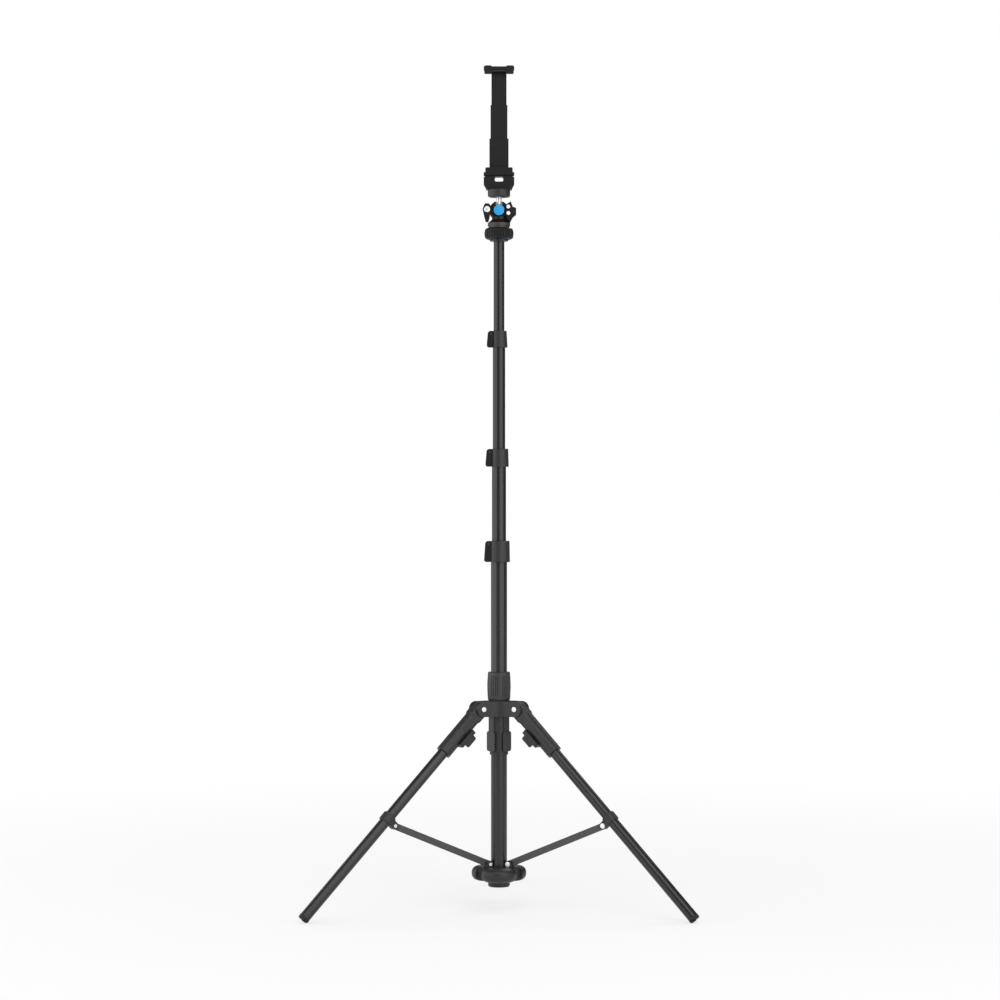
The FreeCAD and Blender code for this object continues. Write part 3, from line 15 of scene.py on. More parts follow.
import bmesh
import bpy
import numpy as np
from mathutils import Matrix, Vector


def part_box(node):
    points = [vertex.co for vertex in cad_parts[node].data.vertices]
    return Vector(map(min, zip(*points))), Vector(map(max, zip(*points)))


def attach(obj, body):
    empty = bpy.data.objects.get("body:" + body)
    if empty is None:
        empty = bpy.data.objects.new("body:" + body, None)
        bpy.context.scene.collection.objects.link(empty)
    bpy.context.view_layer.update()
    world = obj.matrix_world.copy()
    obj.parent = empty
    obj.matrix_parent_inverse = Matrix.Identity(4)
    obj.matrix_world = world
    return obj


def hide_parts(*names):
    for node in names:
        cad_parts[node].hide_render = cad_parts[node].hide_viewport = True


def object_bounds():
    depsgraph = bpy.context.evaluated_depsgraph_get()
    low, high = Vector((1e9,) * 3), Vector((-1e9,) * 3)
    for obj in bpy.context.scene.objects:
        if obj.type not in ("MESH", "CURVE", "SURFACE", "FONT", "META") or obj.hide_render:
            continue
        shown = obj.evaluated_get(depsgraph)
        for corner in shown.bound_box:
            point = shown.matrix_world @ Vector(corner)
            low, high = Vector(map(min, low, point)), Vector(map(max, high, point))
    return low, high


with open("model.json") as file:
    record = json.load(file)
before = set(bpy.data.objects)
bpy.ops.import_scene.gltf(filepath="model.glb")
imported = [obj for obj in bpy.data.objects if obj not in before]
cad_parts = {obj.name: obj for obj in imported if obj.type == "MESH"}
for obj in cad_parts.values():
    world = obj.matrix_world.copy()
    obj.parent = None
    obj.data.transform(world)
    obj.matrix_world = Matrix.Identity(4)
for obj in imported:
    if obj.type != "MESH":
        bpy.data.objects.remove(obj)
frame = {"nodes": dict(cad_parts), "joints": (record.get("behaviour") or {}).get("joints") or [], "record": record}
cad_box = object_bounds()
print("nodes", len(frame["nodes"]), "height", round(cad_box[1].z - cad_box[0].z, 3), "m")

# %% [markdown]
# ## Measures from the solids
# A round piece that stands upright fills its box, so half the width of the box is its
# radius. The same sizes could be typed again, but a mesh that reads them stays on its
# solid when that changes. The record also says which body each piece moves with, and
# which material it is made of.

# %% Sizes and facts of a node
MM = 0.001


def radius_of(node):
    low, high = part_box(node)
    return (high.x - low.x) / 2


def foot_of(node):
    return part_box(node)[0].z


BODY_OF = {
    node: body
    for body, nodes in frame["record"]["behaviour"]["bodies"].items()
    for node in nodes
}
SLOT_OF = {row["node"]: row["material_slot"] for row in frame["record"]["subparts"]}
print("column radius", round(radius_of("main_tube") / MM, 2), "mm, bodies", len(set(BODY_OF.values())))

# %% [markdown]
# ## Shader maths as plain expressions
# A material is a network of small nodes. Wired one by one they are long to write and hard
# to read. So one small class wraps the output socket of a node, and +, - and * on it add
# the Math nodes, also where a plain number stands first.


# %% A socket that takes part in expressions
class Value:
    def __init__(self, nodes, socket):
        self.nodes = nodes
        self.socket = socket

    def maths(self, operation, first, second):
        return self.nodes.node("ShaderNodeMath", {"operation": operation}, {0: first, 1: second})

    def __add__(self, other):
        return self.maths("ADD", self, other)

    def __radd__(self, other):
        return self.maths("ADD", other, self)

    def __sub__(self, other):
        return self.maths("SUBTRACT", self, other)

    def __rsub__(self, other):
        return self.maths("SUBTRACT", other, self)

    def __mul__(self, other):
        return self.maths("MULTIPLY", self, other)

    def __rmul__(self, other):
        return self.maths("MULTIPLY", other, self)


print("reflected forms", sorted(name for name in vars(Value) if name.startswith("__r")))

# %% [markdown]
# ## Any other node from one method
# Nodes wraps a whole tree. Its one method takes the type of a node, its settings, and the
# values or links of its sockets, so that a world and a material are written the same way.


# %% A tree of nodes
class Nodes:
    def __init__(self, tree):
        self.tree = tree

    def feed(self, node, inputs):
        for key, value in inputs.items():
            if isinstance(value, Value):
                self.tree.links.new(value.socket, node.inputs[key])
            else:
                node.inputs[key].default_value = value

    def node(self, kind, settings=None, inputs=None, output=0):
        made = self.tree.nodes.new(kind)
        for key, value in (settings or {}).items():
            setattr(made, key, value)
        self.feed(made, inputs or {})
        return Value(self, made.outputs[output])


# A Mix node names its sockets alike for numbers, vectors and colours, so they go by place
MIX_FACTOR, MIX_FIRST, MIX_SECOND, MIX_RESULT = 0, 6, 7, 2
print("Mix sockets", MIX_FACTOR, MIX_FIRST, MIX_SECOND, "and result", MIX_RESULT)

# %% [markdown]
# ## A finish and what all of them need
# Real surfaces differ a little from place to place in colour, gloss and height. Each
# finish here takes noise patterns in the object's own space, which need no unwrapping and
# keep their real scale, and lets them steer just these three. What is the same all over
# the surface is set on the shader itself.


# %% A material with its tree
class Finish(Nodes):
    def __init__(self, name, **sockets):
        self.material = bpy.data.materials.new(name)
        self.material.use_nodes = True
        super().__init__(self.material.node_tree)
        self.shader = self.tree.nodes["Principled BSDF"]
        self.wear(**sockets)

    def wear(self, **sockets):
        # Base_Color stands for the shader's socket Base Color, and so on
        self.feed(self.shader, {key.replace("_", " "): value for key, value in sockets.items()})

    def place(self):
        return self.node("ShaderNodeTexCoord", output="Object")

    def noise(self, scale, detail=2.0, roughness=0.5, stretch=None):
        place = self.place()
        if stretch:
            place = self.node("ShaderNodeMapping", {}, {"Vector": place, "Scale": stretch})
        sockets = {"Vector": place, "Scale": scale, "Detail": detail, "Roughness": roughness}
        return self.node("ShaderNodeTexNoise", {}, sockets)

    def tones(self, pattern, first, second):
        sockets = {MIX_FACTOR: pattern, MIX_FIRST: first, MIX_SECOND: second}
        colour = self.node("ShaderNodeMix", {"data_type": "RGBA"}, sockets, output=MIX_RESULT)
        self.wear(Base_Color=colour)

    def gloss(self, pattern, roughness, spread):
        # The pattern moves the roughness by half the spread to either side
        self.wear(Roughness=pattern * spread + (roughness - spread / 2))

    def relief(self, height, depth):
        sockets = {"Height": height, "Strength": 1.0, "Distance": depth}
        self.wear(Normal=self.node("ShaderNodeBump", {}, sockets))


def grey(level, tint=(1.0, 1.0, 1.0)):
    return (level * tint[0], level * tint[1], level * tint[2], 1.0)


print("a grey of 0.02 is", grey(0.02))

# %% [markdown]
# ## Black metals
# The tripod is nearly all black, so it is the gloss that tells its materials apart. The
# tubes are drawn through a die, which leaves faint upright streaks, and then anodised: a
# dyed, glassy skin, smooth enough to mirror the lamps as long stripes. It hides the metal
# under it, so these finishes are not set to metallic. The flat stays have a duller coat.
# A photograph of such a tube could be wrapped round it, but stretched noise has no seam
# and can be turned up or down.

# %% The finish of tubes and stays
DRAWN_STRETCH = (6.0, 6.0, 0.35)
DARK_TONE, LIGHT_TONE = 0.82, 1.2
METAL_GLOSS_SPREAD = 0.12
METAL_RELIEF = 0.000004


def tube_finish(name, level, roughness):
    finish = Finish(name, Metallic=0.0, Specular_IOR_Level=0.5)
    cloud = finish.noise(scale=9.0, detail=3.0)
    drawn = finish.noise(scale=60.0, roughness=0.6, stretch=DRAWN_STRETCH)
    speck = finish.noise(scale=1500.0)
    finish.tones(0.6 * cloud + 0.4 * drawn, grey(level * DARK_TONE), grey(level * LIGHT_TONE))
    finish.gloss(drawn, roughness, METAL_GLOSS_SPREAD)
    finish.relief(speck * 0.6 + drawn * 0.4, METAL_RELIEF)
    return finish.material


MATERIALS = {
    "tube_metal": tube_finish("black_anodised_tube", level=0.016, roughness=0.2),
    "strut_metal": tube_finish("dull_coated_strut", level=0.048, roughness=0.42),
}
print("black metals", len(MATERIALS))

# %% [markdown]
# ## Moulded plastics and rubber
# A mould is etched with a fine grain, which breaks up the highlights. The grain could be
# real dents in the mesh, but those would take millions of faces. So it is fine noise, in
# the gloss and in a bump of no more than a tenth of a millimetre. One function makes all
# of them, and the numbers in the table tell hard plastic from matt rubber. The grain and
# the level of grey are chosen against a picture of the real tripod.

# %% The finish of moulded pieces
COOL_TINT = (1.0, 1.0, 1.03)
PLASTIC_DARK, PLASTIC_LIGHT = 0.85, 1.15
PLASTIC_GLOSS_SPREAD = 0.14


def moulded_finish(name, level, roughness, grain, shine=0.45):
    finish = Finish(name, Metallic=0.0, Specular_IOR_Level=shine)
    cloud = finish.noise(scale=14.0, detail=3.0)
    spark = finish.noise(scale=1100.0, detail=3.0, roughness=0.65)
    coarse = finish.noise(scale=420.0)
    dark, light = grey(level * PLASTIC_DARK, COOL_TINT), grey(level * PLASTIC_LIGHT, COOL_TINT)
    finish.tones(cloud, dark, light)
    finish.gloss(spark, roughness, PLASTIC_GLOSS_SPREAD)
    finish.relief(spark * 0.7 + coarse * 0.3, grain)
    return finish.material


MOULDED = {
    "black_plastic": dict(level=0.023, roughness=0.40, grain=0.00004, shine=0.4),
    "grip_plastic": dict(level=0.032, roughness=0.46, grain=0.00004),
    "collar_plastic": dict(level=0.006, roughness=0.42, grain=0.00003, shine=0.28),
    "bush_plastic": dict(level=0.025, roughness=0.42, grain=0.00003),
    "foot_rubber": dict(level=0.020, roughness=0.78, grain=0.00008),
    "pad_rubber": dict(level=0.026, roughness=0.82, grain=0.0001),
}
for slot, look in MOULDED.items():
    MATERIALS[slot] = moulded_finish(slot + "_grained", **look)
print("moulded finishes", len(MOULDED))

# %% [markdown]
# ## Two darker copies of the black plastic
# The clamp, the ball's housing and the levers get a darker copy of the black plastic than
# the hub and the collars on the tubes, and the clips of the legs lie between the two. The
# extra darkness is painted shade: it stands for the darker shading that falls on these
# pieces. They could have material slots of their own, but all of them are the same plastic.
# So they keep the slot of their record, and only their finish is their own.

# %% Finishes of their own for some pieces
# Painted shade: the clamp, housing, levers and clips get darker copies of one plastic
SHADED_COPY_BLACK = moulded_finish("black_plastic_painted_shade", 0.007, roughness=0.36, grain=0.00003, shine=0.32)
CLIP_SHADED_COPY_BLACK = moulded_finish("clip_plastic_painted_half_shade", 0.014, roughness=0.38, grain=0.00003, shine=0.4)
SHADED_COPY_NODES = [
    "clamp_base", "clamp_slide", "upper_jaw", "ball_housing", "ball_lever", "side_bracket"
]
# Legs, stays, sliding tubes and flip locks are all numbered from 1 to 3
THREE = (1, 2, 3)
OWN_FINISH = {node: SHADED_COPY_BLACK for node in SHADED_COPY_NODES}
for number in THREE:
    OWN_FINISH[f"flip_lever_{number}"] = SHADED_COPY_BLACK
    OWN_FINISH[f"leg_clip_{number}"] = CLIP_SHADED_COPY_BLACK
print("pieces with a finish of their own", len(OWN_FINISH))

# %% [markdown]
# ## Bright metals
# Rivets, screws, the ball's steel stem and the two caps are the only bright spots. Real
# polished metal is fully metallic and shows only what it reflects. In a plain studio with
# few lamps that turns dark, so these are only partly metallic and keep their own colour
# from every side. The near-white of the rivets is partly their bright metal and partly a
# painted highlight: the white of the front lamp that they mirror.

# %% The finish of bright pieces
HAIR_GLOSS_SPREAD = 0.12
DARKER = 0.88


def bright_finish(name, colour, metallic, roughness, depth=0.00001):
    finish = Finish(name, Metallic=metallic)
    hair = finish.noise(scale=900.0, roughness=0.6)
    cloud = finish.noise(scale=120.0)
    finish.tones(cloud, tuple(DARKER * part for part in colour[:3]) + (1.0,), colour)
    finish.gloss(hair, roughness, HAIR_GLOSS_SPREAD)
    finish.relief(hair, depth)
    return finish.material


STEEL, RIVET_WHITE_AND_HIGHLIGHT = grey(0.86), grey(0.97)
BLUE = (0.020, 0.36, 0.74, 1.0)
BROWN_GREY = (0.058, 0.048, 0.043, 1.0)
# Near-white rivets: bright metal with a painted highlight of the front lamp
MATERIALS["rivet_metal"] = bright_finish("rivet_with_painted_highlight", RIVET_WHITE_AND_HIGHLIGHT, metallic=0.12, roughness=0.3)
MATERIALS["ball_metal"] = bright_finish(
    "polished_steel", STEEL, metallic=0.6, roughness=0.22, depth=0.000006
)
MATERIALS["blue_anodised"] = bright_finish("blue_anodised", BLUE, metallic=0.15, roughness=0.34)
MATERIALS["neck_metal"] = bright_finish("brown_grey_metal", BROWN_GREY, metallic=0.3, roughness=0.4)
print("finishes", len(MATERIALS), "missing", sorted(set(SLOT_OF.values()) - set(MATERIALS)))

# %% [markdown]
# ## A piece that takes a node's place
# Every new mesh gets the same things: the finish of its material, chosen by the slot of the
# node that it takes the place of, and the body that it moves with, and that node is hidden.
# The solid itself is never changed, so the way to a finer shape is a new piece in its place.


# %% Meshes and their places
def add_object(name, shape):
    mesh = bpy.data.meshes.new(name)
    shape.to_mesh(mesh)
    shape.free()
    for polygon in mesh.polygons:
        polygon.use_smooth = True
    piece = bpy.data.objects.new(name, mesh)
    bpy.context.scene.collection.objects.link(piece)
    return piece


def take_place(piece, node):
    slot = SLOT_OF[node]
    # Weighted normals keep flats flat beside a small round
    normals = piece.modifiers.new("normals", "WEIGHTED_NORMAL")
    normals.keep_sharp = False
    piece.data.materials.append(OWN_FINISH.get(node, MATERIALS[slot]))
    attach(piece, BODY_OF[node])
    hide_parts(node)


print("nodes to dress", len(SLOT_OF))

# %% [markdown]
# ## Softened edges
# No moulded edge is knife sharp: a small round catches the light and shows the shape. The
# edges could be rounded in the solids, but that costs faces that no other use needs. Here
# a copy of the solid's mesh has its triangles joined to flat faces again, and a Bevel
# modifier rounds only the edges that turn by more than about thirty degrees. A Weld then
# merges the points that a bevel can leave on top of each other at its corners.

# %% Moulded and pressed pieces
JOIN_DISTANCE = 0.000001
FLAT_ANGLE = math.radians(0.6)
EDGE_ANGLE = math.radians(32)
EDGE_SEGMENTS = 2
WELD_DISTANCE = 0.000002


def soften(node, width):
    shape = bmesh.new()
    shape.from_mesh(frame["nodes"][node].data)
    bmesh.ops.remove_doubles(shape, verts=shape.verts, dist=JOIN_DISTANCE)
    bmesh.ops.dissolve_limit(shape, angle_limit=FLAT_ANGLE, verts=shape.verts, edges=shape.edges)
    piece = add_object(node + "_soft", shape)
    bevel = piece.modifiers.new("edges", "BEVEL")
    bevel.width = width
    bevel.segments = EDGE_SEGMENTS
    bevel.limit_method = "ANGLE"
    bevel.angle_limit = EDGE_ANGLE
    bevel.miter_outer = "MITER_ARC"
    weld = piece.modifiers.new("weld", "WELD")
    weld.merge_threshold = WELD_DISTANCE
    take_place(piece, node)


# How wide the round of each piece's edges is, in millimetres
SOFT_EDGES = {
    "spreader_hub": 0.5, "hub_body": 0.6, "side_bracket": 0.5, "ball_lever": 0.8,
    "ball_housing": 0.5, "clamp_base": 0.5, "upper_jaw": 0.5, "clamp_slide": 0.3,
    "lower_pad": 0.3, "upper_pad": 0.3,
}
SOFT_EDGES_OF_THREE = {
    "leg_sleeve": 0.5, "leg_clip": 0.6, "strut_collar": 0.4, "strut": 0.4,
    "leg_foot": 0.3, "flip_collar": 0.4, "flip_lever": 0.6,
}
for number in THREE:
    for kind, width in SOFT_EDGES_OF_THREE.items():
        SOFT_EDGES[f"{kind}_{number}"] = width
for node, width in SOFT_EDGES.items():
    soften(node, width * MM)
print("softened", len(SOFT_EDGES), "pieces")

# %% [markdown]
# ## An outline with eased corners
# Tubes, caps, knobs and rivets are round about one axis, so half of their section says
# all. It is drawn as a few corner points in millimetres. A turning tool or a mould leaves
# no sharp corner, so each corner becomes a short curve first. A point may carry its own
# ease as a third number, where 0 keeps it as it is.

# %% Easing an outline
EASE_STEPS = 4
EASE_SHARE = 0.45


def eased(outline, ease, closed):
    points = [Vector(point[:2]) for point in outline]
    last = len(points) - 1
    result = []
    for index, corner in enumerate(points):
        own = outline[index][2] if len(outline[index]) > 2 else ease
        if own == 0 or (not closed and index in (0, last)):
            result.append(corner)
            continue
        before = points[index - 1] - corner
        after = points[(index + 1) % len(points)] - corner
        start = corner + before.normalized() * min(own, before.length * EASE_SHARE)
        end = corner + after.normalized() * min(own, after.length * EASE_SHARE)
        for step in range(EASE_STEPS + 1):
            t = step / EASE_STEPS
            result.append(start * (1 - t) ** 2 + corner * 2 * t * (1 - t) + end * t ** 2)
    return result


square = [(0, 0), (1, 0), (1, 1), (0, 1)]
print("a square of 4 corners is eased to", len(eased(square, 0.1, closed=True)), "points")

# %% [markdown]
# ## A lathe
# A Screw modifier would turn an outline too, but only about an axis of its own object,
# and each piece here keeps its origin in the middle of the scene. So the lathe is written
# out: a ring of points for each point of the outline, and faces between the rings. Where
# the outline meets the axis, the ring is a single point.

# %% Turning an outline about an axis
TURN_STEPS = 96
ON_AXIS = 0.000001


def lathe_shape(outline, start, axis, steps=TURN_STEPS, closed=False):
    # The outline is a list of (radius, distance along the axis) in millimetres
    axis = axis.normalized()
    side = axis.orthogonal().normalized()
    other = axis.cross(side)
    shape = bmesh.new()
    rings = []
    for radius, along in outline:
        centre = start + axis * along * MM
        if radius < ON_AXIS:
            rings.append([shape.verts.new(centre)])
            continue
        ring = []
        for step in range(steps):
            angle = 2 * math.pi * step / steps
            reach = side * math.cos(angle) + other * math.sin(angle)
            ring.append(shape.verts.new(centre + reach * radius * MM))
        rings.append(ring)
    followers = rings[1:] + rings[:1] if closed else rings[1:]
    for lower, upper in zip(rings, followers):
        for step in range(steps):
            after = (step + 1) % steps
            corners = [lower[step % len(lower)], lower[after % len(lower)]]
            corners += [upper[after % len(upper)], upper[step % len(upper)]]
            unique = list(dict.fromkeys(corners))
            if len(unique) > 2:
                shape.faces.new(unique)
    bmesh.ops.recalc_face_normals(shape, faces=shape.faces)
    return shape


def stand_for(node, shapes, name):
    # Several shapes become one piece, as the rivets of one node are
    whole = bmesh.new()
    for shape in shapes:
        mesh = bpy.data.meshes.new("part_of_" + name)
        shape.to_mesh(mesh)
        shape.free()
        whole.from_mesh(mesh)
        bpy.data.meshes.remove(mesh)
    take_place(add_object(name, whole), node)


def turned(name, node, outline, start, axis, ease=0.3, closed=False):
    shape = lathe_shape(eased(outline, ease, closed), start, axis, closed=closed)
    stand_for(node, [shape], name)


print("the lathe turns in", TURN_STEPS, "steps")

# %% [markdown]
# ## Tubes
# Drawn aluminium tubes carry the column and the legs. The legs stand at a slant, so their
# boxes don't give their sizes. Their corner points do: the direction in which these
# spread most is the axis, and the farthest point from that line gives the radius. The
# wall of a tube shows only at an open end.


# %% The seven tubes
def measure(node):
    points = np.array([vertex.co for vertex in frame["nodes"][node].data.vertices])
    centre = (points.max(axis=0) + points.min(axis=0)) / 2
    offsets = points - centre
    axis = np.linalg.eigh(offsets.T @ offsets)[1][:, 2]
    along = offsets @ axis
    across = np.linalg.norm(offsets - np.outer(along, axis), axis=1)
    start = Vector(centre + axis * along.min())
    return start, Vector(axis), (along.max() - along.min()) / MM, across.max() / MM


COLUMN_WALL = 1.2
THIN_WALL = 1.0
TUBE_EASE = 0.25
TUBE_WALLS = {"main_tube": COLUMN_WALL}
for number in THREE:
    TUBE_WALLS[f"mast_tube_{number}"] = THIN_WALL
    TUBE_WALLS[f"leg_tube_{number}"] = THIN_WALL
for node, wall in TUBE_WALLS.items():
    start, axis, length, radius = measure(node)
    outline = [(radius - wall, 0), (radius, 0), (radius, length), (radius - wall, length)]
    turned(node + "_drawn", node, outline, start, axis, TUBE_EASE, closed=True)
    print(node, "length", round(length, 1), "radius", round(radius, 2), "mm")

# %% [markdown]
# ## Grooves for the fingers
# The twist grip of the hub and the lock ring of the head are moulded with upright grooves.
# They could be cut with a Boolean modifier, which leaves hard edges and long thin faces.
# Here the outline is turned in many fine steps, and each point is pulled in where a groove
# passes. A cosine gives the groove a round bottom and soft shoulders.

# %% A turned piece with grooves
UP = Vector((0, 0, 1))
GROOVE_STEPS = 480
ROW_STEP = 1.4
GROOVED_EASE = 0.5
OUTER_SKIN = 0.85


def with_rows(outline, step):
    # Adds points, so that no run of the outline is longer than the step
    rows = []
    for start, end in zip(outline, outline[1:] + outline[:1]):
        count = max(1, math.ceil((end - start).length / step))
        rows += [start.lerp(end, index / count) for index in range(count)]
    return rows


def grooved(node, outline, grooves, groove_half, groove_depth, low, high):
    # Grooves are given by their angles; low and high are the heights of their ends
    foot = Vector((0, 0, foot_of(node)))
    outer = radius_of(node) / MM
    rows = with_rows(eased(outline, GROOVED_EASE, closed=True), ROW_STEP)
    shape = lathe_shape(rows, foot, UP, GROOVE_STEPS, closed=True)
    for vertex in shape.verts:
        radius = math.hypot(vertex.co.x, vertex.co.y) / MM
        height = (vertex.co.z - foot.z) / MM
        if radius < outer * OUTER_SKIN or not low < height < high:
            continue
        angle = math.atan2(vertex.co.y, vertex.co.x)
        gap = min(abs(math.remainder(angle - groove, 2 * math.pi)) for groove in grooves)
        reach = gap * radius / groove_half
        if reach < 1:
            ends = min(1.0, (height - low) / groove_half, (high - height) / groove_half)
            cut = groove_depth * (0.5 + 0.5 * math.cos(math.pi * reach)) * ends
            vertex.co.x *= (radius - cut) / radius
            vertex.co.y *= (radius - cut) / radius
    stand_for(node, [shape], node + "_grooved")


print("grooves are cut in", GROOVE_STEPS, "steps round the piece")

# %% [markdown]
# ## The twist grip
# The grip swells in the middle, and its grooves come in six groups of four with smooth
# faces between them, so that two fingers and a thumb find their place. Its side could be
# a plain cone, but the swell of about a millimetre shows in the highlights, so the
# corners of its outline have long eases.

# %% The grip of the hub
# Radius, height and, where a corner has its own, the ease, all in millimetres
GRIP_OUTLINE = [
    (16.5, 0), (19.2, 0), (20.0, 3.0, 2.0), (20.65, 16.7, 5.0), (20.9, 25.0, 6.0),
    (20.65, 33.4, 5.0), (19.6, 49.0, 1.0), (18.8, 50.1), (14.8, 50.1), (14.8, 42.0),
    (16.5, 29.0)
]
GRIP_GROUPS = 6
GROUP_GROOVES = 4
GROOVE_PITCH = math.radians(10.5)
FIRST_GROOVE = math.radians(-129.5)
grip_grooves = [
    FIRST_GROOVE + group * 2 * math.pi / GRIP_GROUPS + groove * GROOVE_PITCH
    for group in range(GRIP_GROUPS) for groove in range(GROUP_GROOVES)
]
grooved(
    "twist_grip", GRIP_OUTLINE, grip_grooves, groove_half=1.35, groove_depth=1.3,
    low=6.0, high=44.0
)
print("grip grooves", len(grip_grooves))

# %% [markdown]
# ## The lock ring under the head
# It is wide and low, with even grooves all round, and its edges slope in at the top and at
# the bottom. A bump in its finish could draw the grooves, but its edge stands out against
# the pale background, where only real ones show.

# %% The lock ring
COLLAR_OUTLINE = [
    (5.1, 0), (20.0, 0, 1.0), (24.5, 2.2, 1.5), (25.9, 8.5, 3.0), (25.9, 12.0, 3.0),
    (24.5, 18.6, 1.5), (19.9, 20.8, 0.5), (5.1, 20.8)
]
COLLAR_GROOVES = 30
collar_grooves = [index * 2 * math.pi / COLLAR_GROOVES for index in range(COLLAR_GROOVES)]
grooved(
    "head_collar", COLLAR_OUTLINE, collar_grooves, groove_half=1.9, groove_depth=1.6,
    low=2.2, high=18.6
)
print("ring grooves", len(collar_grooves))

# %% [markdown]
# ## Boss, plug, neck and disc
# These stand on the column's own axis, so each needs only its outline and the height of
# its foot. An outline that starts on the axis makes a full piece. One that starts beside
# it has a bore, and is closed back to its first point.

# %% Upright turned pieces
BOSS_RADIUS, BOSS_HEIGHT = 19.5, 11.0
SPIGOT_RADIUS, SPIGOT_TOP = 13.05, 37.0
PLUG_RADIUS, PLUG_LIP_RADIUS = 8.4, 16.4
PLUG_LIP_FOOT, PLUG_LIP_TOP = 22.0, 25.0
STUD_BELOW_RADIUS, STUD_BELOW_TOP = 5.0, 54.5
RING_BORE, BAND_RADIUS, NECK_RADIUS = 5.1, 19.9, 18.6
BAND_FOOT, NECK_HEIGHT = 3.2, 8.7
DISC_BORE, DISC_RADIUS, DISC_HEIGHT = 3.2, 19.8, 13.4
UPRIGHT = {
    "end_boss": [
        (0, 0), (BOSS_RADIUS, 0, 4.0), (BOSS_RADIUS, BOSS_HEIGHT, 0.5),
        (SPIGOT_RADIUS, BOSS_HEIGHT), (SPIGOT_RADIUS, SPIGOT_TOP), (0, SPIGOT_TOP)
    ],
    "top_plug": [
        (0, 0), (PLUG_RADIUS, 0), (PLUG_RADIUS, PLUG_LIP_FOOT),
        (PLUG_LIP_RADIUS, PLUG_LIP_FOOT, 1.0), (PLUG_LIP_RADIUS, PLUG_LIP_TOP),
        (STUD_BELOW_RADIUS, PLUG_LIP_TOP), (STUD_BELOW_RADIUS, STUD_BELOW_TOP),
        (0, STUD_BELOW_TOP)
    ],
    "neck_ring": [
        (RING_BORE, 0), (NECK_RADIUS, 0), (NECK_RADIUS, BAND_FOOT), (BAND_RADIUS, BAND_FOOT),
        (BAND_RADIUS, NECK_HEIGHT), (RING_BORE, NECK_HEIGHT)
    ],
    "mount_disc": [
        (DISC_BORE, 0), (DISC_RADIUS, 0, 4.0), (DISC_RADIUS, DISC_HEIGHT, 0.6),
        (DISC_BORE, DISC_HEIGHT)
    ],
}
for node, outline in UPRIGHT.items():
    foot = Vector((0, 0, foot_of(node)))
    turned(node + "_turned", node, outline, foot, UP, closed=outline[0][0] > 0)
print("upright pieces", len(UPRIGHT))

# %% [markdown]
# ## The ball and its stem
# One piece of steel: the ball that sits in the housing, the stem above it, and the thin
# stud that carries the clamp. It could be a ball with two cylinders pushed into it, but
# those leave faces inside. Here the ball's side is an arc from its foot up to the angle
# at which it meets the stem, so the two join without a step.

# %% The ball stem
BALL_RADIUS = 11.0
STEM_RADIUS, STEM_TOP = 4.6, 34.6
STUD_RADIUS, STUD_TOP = 3.1, 53.5
BALL_ROWS = 24
BALL_FOOT_ANGLE = -90


def arc_points(radius, first, last, count):
    # Points on the side of a ball that stands on the outline's start; angles from its middle
    angles = [math.radians(first + (last - first) * step / count) for step in range(count + 1)]
    return [(radius * math.cos(a), radius + radius * math.sin(a), 0) for a in angles]


stem_angle = math.degrees(math.acos(STEM_RADIUS / BALL_RADIUS))
stem_outline = arc_points(BALL_RADIUS, BALL_FOOT_ANGLE, stem_angle, BALL_ROWS)
stem_outline += [
    (STEM_RADIUS, STEM_TOP), (STUD_RADIUS, STEM_TOP), (STUD_RADIUS, STUD_TOP), (0, STUD_TOP)
]
turned("ball_stem_turned", "ball_stem", stem_outline, Vector((0, 0, foot_of("ball_stem"))), UP)
print("the stem leaves the ball at", round(stem_angle, 1), "degrees")

# %% [markdown]
# ## Caps with turned rings
# A blue cap closes the housing at the front, and a small bright one sits on the lever. A
# cap is turned about the line that it faces along. Its face is slightly domed, and the
# fine rings in it are what a cutting tool leaves. They are part of the outline and not of
# the finish, so that each has two edges that catch the light.

# %% The two caps
FRONT = Vector((0, -1, 0))
CAP_EDGE_EASE = 0.4
RING_EASE = 0.1
RING_FLOOR_SHARE = 0.4


def front_disc(node, radius, depth, rings, ring_half, ring_depth, crown):
    low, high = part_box(node)
    start = Vector(((low.x + high.x) / 2, high.y, (low.z + high.z) / 2))
    outline = [(0, 0), (radius, 0), (radius, depth, CAP_EDGE_EASE)]

    def face(at):
        return depth + crown * (1 - (at / radius) ** 2)

    for ring in sorted(rings, reverse=True):
        floor_half = ring_half * RING_FLOOR_SHARE
        floor_height = face(ring) - ring_depth
        outline += [
            (ring + ring_half, face(ring), RING_EASE), (ring + floor_half, floor_height, RING_EASE),
            (ring - floor_half, floor_height, RING_EASE), (ring - ring_half, face(ring), RING_EASE)
        ]
    outline += [(0, depth + crown)]
    turned(node + "_turned", node, outline, start, FRONT)


CAPS = {
    "ball_cap": dict(
        radius=9.3, depth=2.4, rings=(2.3, 4.6, 7.0), ring_half=0.45, ring_depth=0.35, crown=0.5
    ),
    "lever_cap": dict(
        radius=5.4, depth=0.6, rings=(2.2, 3.8), ring_half=0.4, ring_depth=0.25, crown=0.9
    ),
}
for node, form in CAPS.items():
    front_disc(node, **form)
print("caps", len(CAPS))

# %% [markdown]
# ## Rivets of the stays
# A tubular rivet has a low dome on one side. On the other, the open end of its tube is
# rolled outward, so one side of each joint shows a dot and the other a small ring. Each
# rivet stands on the axis of the joint that it holds. It could be placed by hand, but the
# frame gives that axis, and so the rivet stays on it.

